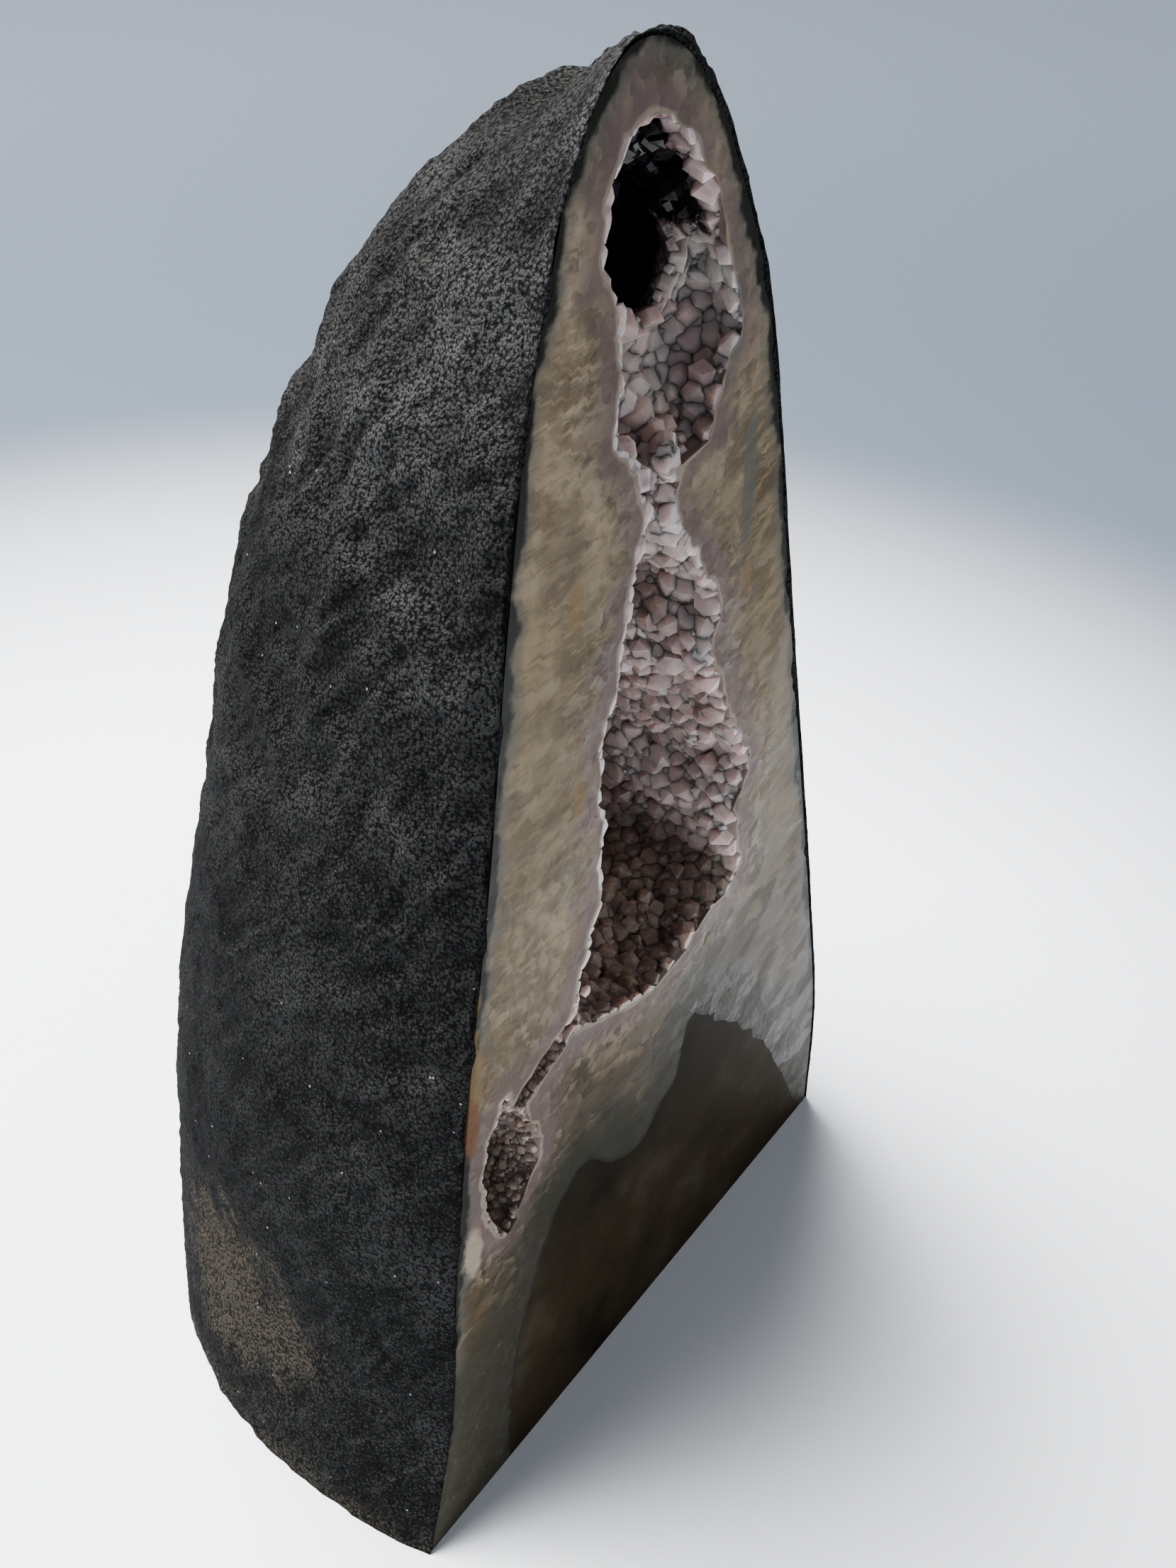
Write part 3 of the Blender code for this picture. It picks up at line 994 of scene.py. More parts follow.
@dataclass(frozen=True)
class AmethystFinish(Finish):
    """Glassy amethyst points, lavender to smoky, paler at their roots.

    Attributes:
        pale: Palest points.
        lavender: Most points.
        deep: Darkest points, and the painted shade further back in the hollows.
        smoky: Brown points low in the stone.
        green: Grey-green points on the ledge between the chambers.
        dark: Painted shade on the points set back above the upper chamber's ledge and down in the pit.
    """

    pale: Colour = (0.60, 0.495, 0.450)
    lavender: Colour = (0.49, 0.360, 0.330)
    deep: Colour = (0.25, 0.170, 0.148)
    smoky: Colour = (0.15, 0.100, 0.060)
    green: Colour = (0.36, 0.365, 0.32)
    dark: Colour = (0.006, 0.004, 0.005)

    def make(self, mottle: Tree, mosaic: Tree) -> Material:
        """Makes the amethyst material.

        Args:
            mottle: The node group of soft clouds.
            mosaic: The node group of ragged cells.

        Returns:
            The material.
        """
        material, wire, shader, place = self.start()
        tint = wire.stored("tint")
        inward = wire.stored("inward")
        colours = {"Dark": (*self.deep, 1), "Middle": (*self.lavender, 1), "Light": (*self.pale, 1)}
        colour = wire.group(mottle, {"Place": place, "Size": 0.026} | colours).outputs["Colour"]
        colour = wire.lay(colour, self.pale, tint, 0.7, 1.0, 0.4)
        colour = wire.lay(colour, self.deep, tint, 0.2, 0.0, 0.25)
        height = wire.part(place, "Z")
        # Painted shade: points further back in the hollows, below the upper chamber, are darkened towards the
        # deep colour.
        shade = wire.remap(inward, 0.012, 0.045, 0.0, 0.6)
        shade = wire.math("MULTIPLY", shade, wire.remap(height, 0.29, 0.28))
        colour = wire.mix(shade, colour, self.deep)
        clouded = wire.plus(height, wire.noise(place, 0.014, 3.0), 0.03)
        colour = wire.lay(colour, self.smoky, clouded, 0.178, 0.155, 0.7)
        brown = wire.near(place, (97, 18, 238), (24, 30, 26))
        colour = wire.mix(wire.math("MULTIPLY", brown, 0.8), colour, self.smoky)
        ledge = wire.near(place, (113, 6, 309), (14, 20, 11))
        colour = wire.mix(wire.math("MULTIPLY", ledge, 0.8), colour, self.green)
        veil = wire.noise(place, 0.0022, 4.0, 0.65)
        colour = wire.lay(colour, self.pale, veil, 0.52, 0.72, 0.45)
        # Painted shade: points set back above the upper chamber's ledge and down in the pit are coloured
        # nearly black.
        ragged = wire.math("MULTIPLY", wire.math("SUBTRACT", veil, 0.5), 0.01)
        painted_mouth_shade = wire.remap(wire.math("ADD", height, ragged), 0.3165, 0.3185)
        painted_mouth_shade = wire.math("MULTIPLY", wire.remap(wire.math("ADD", inward, ragged), 0.0025, 0.0065), painted_mouth_shade)
        pit = wire.math("MULTIPLY", wire.remap(inward, 0.017, 0.021), wire.remap(height, 0.286, 0.290))
        colour = wire.mix(wire.math("MAXIMUM", painted_mouth_shade, pit), colour, self.dark)
        facets = wire.group(mosaic, {"Place": place, "Size": 0.0022})
        wire.join(colour, shader, "Base Color")
        wire.join(wire.remap(veil, 0.35, 0.7, self.roughness, self.roughness + 0.2), shader, "Roughness")
        relief = wire.plus(facets.outputs["Slope"], veil, 0.3)
        wire.join(wire.bump(relief, 0.12 * MM, 0.5), shader, "Normal")
        return material


# ------------------------------------------------------------------------------------------------------------
# Pieces


@dataclass
class CementCoat:
    """The cement coat: a skin on the back and sides that laps a little over the rim of the sawn face.

    Attributes:
        columns: Cells round the back, on the outside.
        rows: Cells from the base to the tip.
        inner_columns: Cells round the back, on the hidden inside.
        lap_columns: Cells on each strip that laps over the rim.
        lap: Widest reach of the lap over the sawn face.
        proud: How far the lap stands in front of the sawn face.
        thickness: Thickness of the skin.
        lumps: Height of its lumps.
        ridges: Height of its trowel ridges.
        grains: Height of its coarse grains.
        build_up: How much thicker it is than the plain coat.
    """

    columns: int = 276
    rows: int = 272
    inner_columns: int = 30
    lap_columns: int = 3
    lap: float = 1.6 * MM
    proud: float = 0.35 * MM
    thickness: float = 2.6 * MM
    lumps: float = 1.9 * MM
    ridges: float = 0.85 * MM
    grains: float = 0.42 * MM
    build_up: float = 0.6 * MM

    def outside(self) -> tuple[Array, Array]:
        """The skin's outside, with lumps, trowel ridges and coarse grains.

        Returns:
            A grid of places, and the relief of the strokes and grains there.
        """
        across, up = np.meshgrid(np.linspace(0, 1, self.columns + 1), np.linspace(0, 1, self.rows + 1))
        places = stone_place(across, up)
        normals = grid_normals(places, places.mean(axis=1, keepdims=True))
        flat = places.reshape(-1, 3)

        strokes = self.strokes(places)
        large = fractal(flat, 60 * MM, 2, 1) + 0.55 * fractal(flat, 20 * MM, 3, 2)
        angular = 0.35 - np.abs(fractal(flat, 26 * MM, 2, 8))
        large = (large + 1.3 * angular).reshape(up.shape)
        grain = fractal(flat, 3.2 * MM, 3, 3).reshape(up.shape)
        high = smoothstep(90 * MM, 300 * MM, places[..., 2])
        relief = strokes * (0.25 + 0.75 * high) * self.ridges
        relief += large * self.lumps * (0.35 + 0.9 * high)
        relief += grain * self.grains + self.build_up
        relief = np.maximum(relief, -0.6 * MM)
        from_rim = np.minimum(across, 1 - across) * STONE_TOP
        relief *= 0.25 + 0.75 * smoothstep(0, 9 * MM, from_rim)
        relief *= 0.15 + 0.85 * smoothstep(0.0, 0.04, 1 - up)
        places = places + normals * relief[..., None]
        places[..., 2] = np.maximum(places[..., 2], 0)
        places[0, :, 2] = 0
        return places, strokes + 0.5 * grain

    def strokes(self, places: Array) -> Array:
        """Trowel strokes that climb towards the sawn face.

        Args:
            places: Grid of places on the outside.

        Returns:
            Their relief at each place, of about -1 to 1.
        """
        along = np.linalg.norm(np.diff(places, axis=1), axis=2)
        from_left = np.cumsum(along[:, ::-1], axis=1)[:, ::-1]
        from_left = np.concatenate([from_left, np.zeros((len(places), 1))], axis=1)
        bend = fractal(places.reshape(-1, 3), 90 * MM, 2, 4).reshape(from_left.shape) * 14 * MM
        across = (from_left * 0.75 + places[..., 2] * 0.66 + bend).reshape(-1)
        lengthwise = (places[..., 2] * 0.75 - from_left * 0.66).reshape(-1)
        pattern = np.stack([across / (6.5 * MM), lengthwise / (38 * MM), np.zeros_like(across)], axis=1)
        fine = np.stack([across / (2.6 * MM), lengthwise / (14 * MM), np.ones_like(across) * 9], axis=1)
        crests = 1 - 2.2 * np.abs(fractal(pattern, 1.0, 2, 5))
        return (crests * 0.7 + fractal(fine, 1.0, 2, 6) * 0.6).reshape(from_left.shape)

    def lap_over(self, places: Array, edge: int, inward: int) -> Array:
        """Strip that folds over the rim in front of the sawn face.

        Args:
            places: Grid of places on the outside.
            edge: The grid's column at the rim.
            inward: 1 where the face lies to the right of the rim, and -1 where it lies to the left.

        Returns:
            A grid of places, from the rim inwards.
        """
        rim = places[:, edge]
        width = fractal(rim * (1, 0, 1), 11 * MM, 4, 7) * 1.3 + 0.45
        rank = np.linspace(0, 1, self.lap_columns + 1)[1:]
        reach = np.clip(width, 0, 1.5)[:, None] * self.lap * rank
        reach = np.minimum(reach, np.abs(rim[:, :1] - TIP_X) * 0.5)
        strip = np.repeat(rim[:, None], self.lap_columns, axis=1)
        strip[..., 0] += inward * reach
        strip[..., 1] = np.where(width[:, None] > 0, -self.proud * np.cos(rank * np.pi / 2), 0.2 * MM)
        return strip

    def build(self, finish: Material) -> Piece:
        """Makes the coat as one closed skin.

        Args:
            finish: Its material.

        Returns:
            The coat.
        """
        outer, relief = self.outside()
        outer[:, 0, 1] = outer[:, -1, 1] = -self.proud * 0.6
        right = self.lap_over(outer, 0, -1)[:, ::-1]
        left = self.lap_over(outer, -1, 1)
        across, up = np.meshgrid(np.linspace(1, 0, self.inner_columns + 1), np.linspace(0, 1, self.rows + 1))
        behind = smoothstep(0, 0.06, np.minimum(across, 1 - across))
        inner = stone_place(across, up, RIM_INSET + (self.thickness - RIM_INSET) * behind)
        inner[..., 1] += 0.6 * MM
        ring = np.concatenate([right, outer, left, inner, right[:, :1]], axis=1)
        ring[-1] = ring[-1].mean(axis=0)
        after = ring.shape[1] - relief.shape[1] - self.lap_columns
        relief = np.pad(relief, ((0, 0), (self.lap_columns, after)))
        sheet = Sheet(ring.shape[1] - 1, ring.shape[0] - 1, "relief")
        bm = sheet.bend(ring + SHIFT)
        for vert, value in zip(sheet.in_order(), relief.reshape(-1).tolist()):
            vert[sheet.layer] = value
        close_tube(bm)
        for face in bm.faces:
            face.smooth = True
        return add_piece("cement_coat_rough", bm, finish)


@dataclass(frozen=True)
class Hollow(ABC):
    """One of the stone's hollows.

    Attributes:
        name: A short name.
        cell: Size of its wall's facets.
        lumps: Height of the swellings of its wall.
        jags: Height of the small steps of its wall.
        teeth: Height of the teeth of its lips.
    """

    name: str
    cell: float = 2.3 * MM
    lumps: float = 3.0 * MM
    jags: float = 1.2 * MM
    teeth: float = 2.2 * MM

    @abstractmethod
    def wall(self) -> Array:
        """Grid of places on its smooth wall."""

    @abstractmethod
    def holds(self, place: Array) -> bool:
        """Whether the place lies well inside the hollow."""

    @abstractmethod
    def cutter(self) -> tuple[Piece, Array]:
        """The hollow as a closed solid, and the grid of places on its rough wall."""

    def roughen(self, places: Array, centre: Array) -> Array:
        """Adds swellings and small steps to the wall.

        Args:
            places: Grid of places on the smooth wall.
            centre: A place inside each row.

        Returns:
            The moved places.
        """
        flat = places.reshape(-1, 3)
        amount = self.lumps * fractal(flat, 24 * MM, 3, 21)
        nearest = np.array([noise.voronoi(Vector(place))[0][0] for place in flat / (9 * MM)])
        amount += self.lumps * np.clip(1.4 * nearest - 0.5, -0.5, 0.6)
        amount += self.jags * (fractal(flat, 5 * MM, 2, 22) + 0.5 * fractal(flat, 2.2 * MM, 1, 23))
        return places + grid_normals(places, centre) * amount.reshape(places.shape[:2])[..., None]


@dataclass(frozen=True)
class Chamber(Hollow):
    """A hollow that is open along the sawn face.

    Attributes:
        sections: Its shape.
        round_end: How far its ends round over above and below its table.
    """

    sections: SectionTable = field(kw_only=True)
    round_end: float = 4.0 * MM

    def wall(self) -> Array:
        """The smooth wall, from its right lip round the back to its left one.

        Returns:
            A grid of places, from floor to roof.
        """
        tall = self.sections.roof - self.sections.floor + 2 * self.round_end
        left, right, depth, _, _ = self.sections.at(np.linspace(self.sections.floor, self.sections.roof, 20))
        columns = round(float(np.max(right - left + 2 * depth)) / self.cell)
        rows = round(tall / self.cell)
        across, up = np.meshgrid(np.linspace(0, 1, columns + 1), np.linspace(0, 1, rows + 1))
        height = self.sections.floor - self.round_end + tall * up
        above = np.clip((height - self.sections.roof) / self.round_end, 0, 1)
        below = np.clip((self.sections.floor - height) / self.round_end, 0, 1)
        closing = np.sqrt(np.maximum(1 - np.maximum(above, below) ** 2, 0.01))
        left, right, depth, bulge, lean = self.sections.at(height)
        middle, half = (left + right) / 2, (right - left) / 2 * closing
        x, y = back_outline(middle - half, middle + half, depth * closing, bulge, lean * closing, across)
        return np.stack([x, y, height], axis=-1)

    def holds(self, place: Array) -> bool:
        """Whether the place lies well inside the hollow."""
        x, y, z = place - SHIFT
        if not self.sections.floor < z < self.sections.roof:
            return False
        left, right, depth, _, lean = (float(value) for value in self.sections.at(np.array(z)))
        back = y / depth
        across = (x - lean * back - (left + right) / 2) / ((right - left) / 2)
        return np.abs(across) ** ROUNDNESS + max(back, 0) ** ROUNDNESS < 0.72

    def cutter(self) -> tuple[Piece, Array]:
        """Makes the hollow as a closed solid that runs out of the sawn face.

        Returns:
            The solid, and the grid of places on its rough wall.
        """
        smooth_wall = self.wall()
        centre = np.median(smooth_wall, axis=1, keepdims=True) * (1, 0, 1) + np.array([0, 8, 0]) * MM
        wall = self.roughen(smooth_wall, centre)
        wall[..., 1] = np.maximum(wall[..., 1], 0.6 * MM)
        wall[:, (0, -1), 1] = 0
        for edge, outward in ((0, 1), (-1, -1)):
            teeth = 0.4 - np.abs(fractal(wall[:, edge], 4.5 * MM, 2, 24 + edge))
            wall[:, edge, 0] += outward * self.teeth * teeth
        out = np.array([0, -FRONT_RUN, 0])
        between = (wall[:, :1] + wall[:, -1:]) / 2 + out
        tube = np.concatenate([between, wall[:, :1] + out, wall, wall[:, -1:] + out, between], axis=1)
        sheet = Sheet(tube.shape[1] - 1, tube.shape[0] - 1)
        bm = sheet.bend(tube + SHIFT)
        close_tube(bm)
        return add_piece(self.name + "_hollow", bm), wall + SHIFT


@dataclass(frozen=True)
class Pit(Hollow):
    """A hollow with the shape of a long egg.

    Attributes:
        start: One end, in mm from the foot of the sawn face's left edge.
        end: The other end.
        radius: Its radius across.
    """

    start: tuple[float, float, float] = (0, 0, 0)
    end: tuple[float, float, float] = (0, 0, 1)
    radius: float = 1.0 * MM

    def seat(self) -> Matrix:
        """The matrix that carries a ball of radius one to the egg."""
        start, end = Vector(self.start) * MM, Vector(self.end) * MM
        turn = (end - start).to_track_quat("Z", "Y").to_matrix().to_4x4()
        size = (self.radius, self.radius, (end - start).length / 2, 1)
        return Matrix.Translation((start + end) / 2) @ turn @ Matrix.Diagonal(size)

    def wall(self) -> Array:
        """The smooth wall, round the egg.

        Returns:
            A grid of places, from one end to the other.
        """
        seat = np.array(self.seat())
        length = np.linalg.norm(seat[:3, 2]) * 2
        columns = round(math.tau * self.radius / self.cell)
        rows = round(length * 1.2 / self.cell)
        down = np.linspace(0.06, 0.94, rows + 1) * math.pi
        around, up = np.meshgrid(np.linspace(0, math.tau, columns + 1), down)
        ball = np.stack([np.sin(up) * np.cos(around), np.sin(up) * np.sin(around), np.cos(up)], axis=-1)
        ball[:, -1] = ball[:, 0]
        return ball @ seat[:3, :3].T + seat[:3, 3]

    def holds(self, place: Array) -> bool:
        """Whether the place lies well inside the hollow."""
        return (self.seat().inverted() @ Vector(place - SHIFT)).length < 1.06

    def cutter(self) -> tuple[Piece, Array]:
        """Makes the egg as a closed solid.

        Returns:
            The solid, and the grid of places on its rough wall.
        """
        smooth_wall = self.wall()
        wall = self.roughen(smooth_wall, smooth_wall.mean(axis=1, keepdims=True))
        wall[:, -1] = wall[:, 0]
        sheet = Sheet(wall.shape[1] - 1, wall.shape[0] - 1)
        bm = sheet.bend(wall + SHIFT)
        close_tube(bm)
        return add_piece(self.name + "_hollow", bm), wall + SHIFT


UPPER = Chamber(
    "upper",
    lumps=1.8 * MM,
    sections=SectionTable(
        (
            (281, 88, 110, 10, 0.05, 0),
            (288, 81, 113, 15, 0.08, 2),
            (298, 79, 118, 17, 0.08, 4),
            (308, 79, 116, 17, 0.08, 4),
            (314, 78, 114, 18, 0.08, 5),
            (320, 77, 112, 31, 0.08, 7),
            (327, 75, 109, 30, 0.08, 6),
            (335, 76, 102, 20, 0.05, 4),
            (342, 80, 94, 10, 0.05, 2),
        )
    ),
)
PIT = Pit("pit", lumps=1.5 * MM, start=(84, 9, 333), end=(123, 39, 294), radius=15 * MM)
LOWER = Chamber(
    "lower",
    sections=SectionTable(
        (
            (137, 84, 112, 16, 0.05, -4),
            (143, 66, 130, 42, 0.08, -8),
            (153, 66, 131, 58, 0.10, -12),
            (165, 71, 131, 62, 0.10, -14),
            (180, 75, 134, 62, 0.10, -14),
            (195, 75, 127, 58, 0.10, -14),
            (210, 75, 120, 52, 0.10, -12),
            (225, 76, 114, 46, 0.10, -10),
            (238, 79, 118, 40, 0.10, -8),
            (250, 84, 108, 32, 0.08, -5),
            (262, 86, 99, 22, 0.05, -2),
            (285, 88, 97, 16, 0.05, 0),
        )
    ),
)
VUG = Chamber(
    "vug",
    cell=2.0 * MM,
    lumps=1.2 * MM,
    sections=SectionTable(
        (
            (102, 34, 41, 9, 0.05, 0),
            (110, 32, 46, 18, 0.08, -2),
            (120, 31, 50, 24, 0.10, -4),
            (130, 31, 48, 24, 0.10, -4),
            (138, 33, 44, 14, 0.08, -2),
            (142, 36, 41, 7, 0.05, 0),
        )
    ),
)
CRACK = Pit(
    "crack",
    cell=1.6 * MM,
    lumps=1.0 * MM,
    jags=0.8 * MM,
    start=(74, 1, 153),
    end=(34, 0.5, 135),
    radius=3.6 * MM,
)
HOLLOWS = (UPPER, PIT, LOWER, VUG, CRACK)

# Outline of the host rock on the sawn front, in mm from the lower left corner.
HOST_ROCK = (
    (34, -5),
    (35, 24),
    (41, 52),
    (52, 79),
    (62, 91),
    (70, 92),
    (80, 81),
    (92, 75),
    (102, 83),
    (109, 88),
    (113, 104),
    (119, 104),
    (132, 89),
    (158, 55),
    (182, 6),
    (186, -5),
)
HOST_DEPTH = 100 * MM  # how far the rock reaches into the stone
HOST_TAPER = 0.5  # its size there, as a share of its size in front
HOST_TAPER_TO = (108 * MM, -8 * MM)  # the x and z that it tapers towards


@dataclass
class Stone:
    """The quartz wall and the host rock: one stone that is sawn flat, hollowed and polished.

    Attributes:
        face_columns: Cells across the sawn face.
        back_columns: Cells round the back, which the coat hides.
        rows: Cells from the base to the tip.
    """

    face_columns: int = 110
    back_columns: int = 44
    rows: int = 210

    def body(self, name: str) -> Piece:
        """Makes the whole stone as one closed solid with a fine grid on its sawn face.

        Args:
            name: The solid's name.

        Returns:
            The solid.
        """
        count = self.face_columns + self.back_columns
        sheet = Sheet(count, self.rows)
        step = sheet.across * count
        around = np.clip(step / self.back_columns, 0, 1)
        behind = smoothstep(0, 0.08, np.minimum(around, 1 - around))
        places = stone_place(around, sheet.up, RIM_INSET + (BACK_INSET - RIM_INSET) * behind)
        across_face = np.clip((step - self.back_columns) / self.face_columns, 0, 1)[..., None]
        right = stone_place(np.zeros_like(around), sheet.up, RIM_INSET)
        left = stone_place(np.ones_like(around), sheet.up, RIM_INSET)
        places = np.where(step[..., None] > self.back_columns, left + (right - left) * across_face, places)
        bm = sheet.bend(places + SHIFT)
        close_tube(bm)
        return add_piece(name, bm)

    def rock_outline(self) -> Array:
        """The host rock's outline on the sawn face, rounded and slightly ragged.

        Returns:
            An (n, 2) array of places, as x and z.
        """
        corners = np.array(HOST_ROCK) * MM
        along = np.linspace(0, len(corners) - 1, 190)
        i = np.clip(along.astype(int), 0, len(corners) - 2)
        t = (along - i)[:, None]
        before, after = corners[np.maximum(i - 1, 0)], corners[np.minimum(i + 2, len(corners) - 1)]
        start, end = corners[i], corners[i + 1]
        curve = 2 * start + (end - before) * t + (2 * before - 5 * start + 4 * end - after) * t**2
        curve = (curve + (3 * start - before - 3 * end + after) * t**3) / 2
        flat = np.insert(curve, 1, 0, axis=1)
        ragged = np.stack([fractal(flat, 7 * MM, 4, 31), fractal(flat, 7 * MM, 4, 32)], axis=1)
        torn = smoothstep(112 * MM, 122 * MM, curve[:, 0]) * smoothstep(165 * MM, 140 * MM, curve[:, 0])
        return curve + ragged * (0.8 + 1.6 * torn)[:, None] * MM

    def rock_block(self) -> Piece:
        """Makes the host rock as a block that tapers into the stone.

        Returns:
            The block.
        """
        front = self.rock_outline()
        behind = HOST_TAPER_TO + (front - HOST_TAPER_TO) * HOST_TAPER
        bm = bmesh.new()
        rim = []
        for outline, y in ((front, -FRONT_RUN), (front, 0.0), (behind, HOST_DEPTH)):
            circle = bmesh.ops.create_circle(bm, segments=len(outline), radius=1)["verts"]
            for vert, (x, z) in zip(circle, outline):
                vert.co = SHIFT + (x, y, z)
            rim.append(list({edge for vert in circle for edge in vert.link_edges}))
        for first, second in zip(rim, rim[1:]):
            bmesh.ops.bridge_loops(bm, edges=first + second)
        close_tube(bm)
        return add_piece("rock_block", bm)

    def build(self, quartz: Material, basalt: Material) -> tuple[list[Piece], dict[Hollow, Array]]:
        """Makes the wall and the rock.

        Args:
            quartz: The wall's finish.
            basalt: The rock's finish.

        Returns:
            The two pieces, and the grid of places on each hollow's wall.
        """
        cutters, walls = [], {}
        for hollow in HOLLOWS:
            cutter, walls[hollow] = hollow.cutter()
            cutters.append(cutter)
        block = self.rock_block()
        wall = self.body("quartz_wall")
        rock = self.body("host_rock")
        carve(rock, [block], "INTERSECT")
        carve(wall, [block, *cutters], "DIFFERENCE")
        for cutter in (*cutters, block):
            bpy.data.objects.remove(cutter)
        self.dress_wall(wall)
        for piece, finish in ((wall, quartz), (rock, basalt)):
            piece.data.materials.clear()
            piece.data.materials.append(finish)
            piece.data.shade_smooth()
            piece.data.set_sharp_from_angle(angle=math.radians(28))
        return [wall, rock], walls

    def dress_wall(self, wall: Piece) -> None:
        """Stores how far each vertex lies from the rim, from the hollows and from the host rock.

        Args:
            wall: The carved wall.
        """
        mesh = wall.data
        places = mesh_places(mesh)
        rise = np.linspace(0, 1, 400)
        left = stone_place(np.ones_like(rise), rise, RIM_INSET)
        right = stone_place(np.zeros_like(rise), rise, RIM_INSET)
        rim = np.concatenate([left, right[::-1]]) + SHIFT
        along = np.concatenate([[0], np.cumsum(np.linalg.norm(np.diff(rim, axis=0), axis=1))])
        near_rim = self.nearest(rim * (1, 0, 1), places * (1, 0, 1))
        growth = np.stack([along[near_rim[0]], near_rim[1]], axis=1)
        layer = mesh.uv_layers.new(name="growth")
        loops = np.empty(len(mesh.loops), np.int32)
        mesh.loops.foreach_get("vertex_index", loops)
        layer.data.foreach_set("uv", growth[loops].astype(np.float32).reshape(-1))
        store(mesh, "lip", self.lip_distance(mesh, places, near_rim[1]))
        outline = np.insert(self.rock_outline(), 1, 0, axis=1) + SHIFT
        store(mesh, "rock", self.nearest(outline * (1, 0, 1), places * (1, 0, 1))[1])
        across, height = places[:, 0] - SHIFT[0], places[:, 2]
        lower_left = smoothstep(230 * MM, 180 * MM, height) * smoothstep(80 * MM, 60 * MM, across)
        store(mesh, "side", lower_left * smoothstep(100 * MM, 140 * MM, height))

    @staticmethod
    def nearest(targets: Array, places: Array) -> tuple[Array, Array]:
        """Finds the nearest target for each place.

        Args:
            targets: An (n, 3) array of targets.
            places: An (m, 3) array of places.

        Returns:
            The number of the nearest target for each place, and how far off it is.
        """
        tree = kdtree.KDTree(len(targets))
        for index, target in enumerate(targets):
            tree.insert(target, index)
        tree.balance()
        found = [tree.find(place) for place in places]
        return np.array([hit[1] for hit in found]), np.array([hit[2] for hit in found])

    def lip_distance(self, mesh: bpy.types.Mesh, places: Array, from_rim: Array) -> Array:
        """How far each vertex lies from the nearest edge where a hollow opens in the sawn face.

        Args:
            mesh: The wall's mesh.
            places: The places of its vertices.
            from_rim: How far each vertex lies from the rim.

        Returns:
            One distance for each vertex.
        """
        on_face = np.abs(places[:, 1] - SHIFT[1]) < 0.02 * MM
        inner = set()
        for polygon in mesh.polygons:
            if polygon.normal.y > -0.98:
                inner.update(polygon.vertices)
        edge = np.zeros(len(places), bool)
        edge[list(inner)] = True
        rock = np.insert(self.rock_outline(), 1, 0, axis=1) + SHIFT
        from_rock = self.nearest(rock, places)[1]
        inside = (from_rim > 1.5 * MM) & (from_rock > 1.0 * MM) & (places[:, 2] > 1 * MM)
        return self.nearest(places[on_face & edge & inside], places)[1]


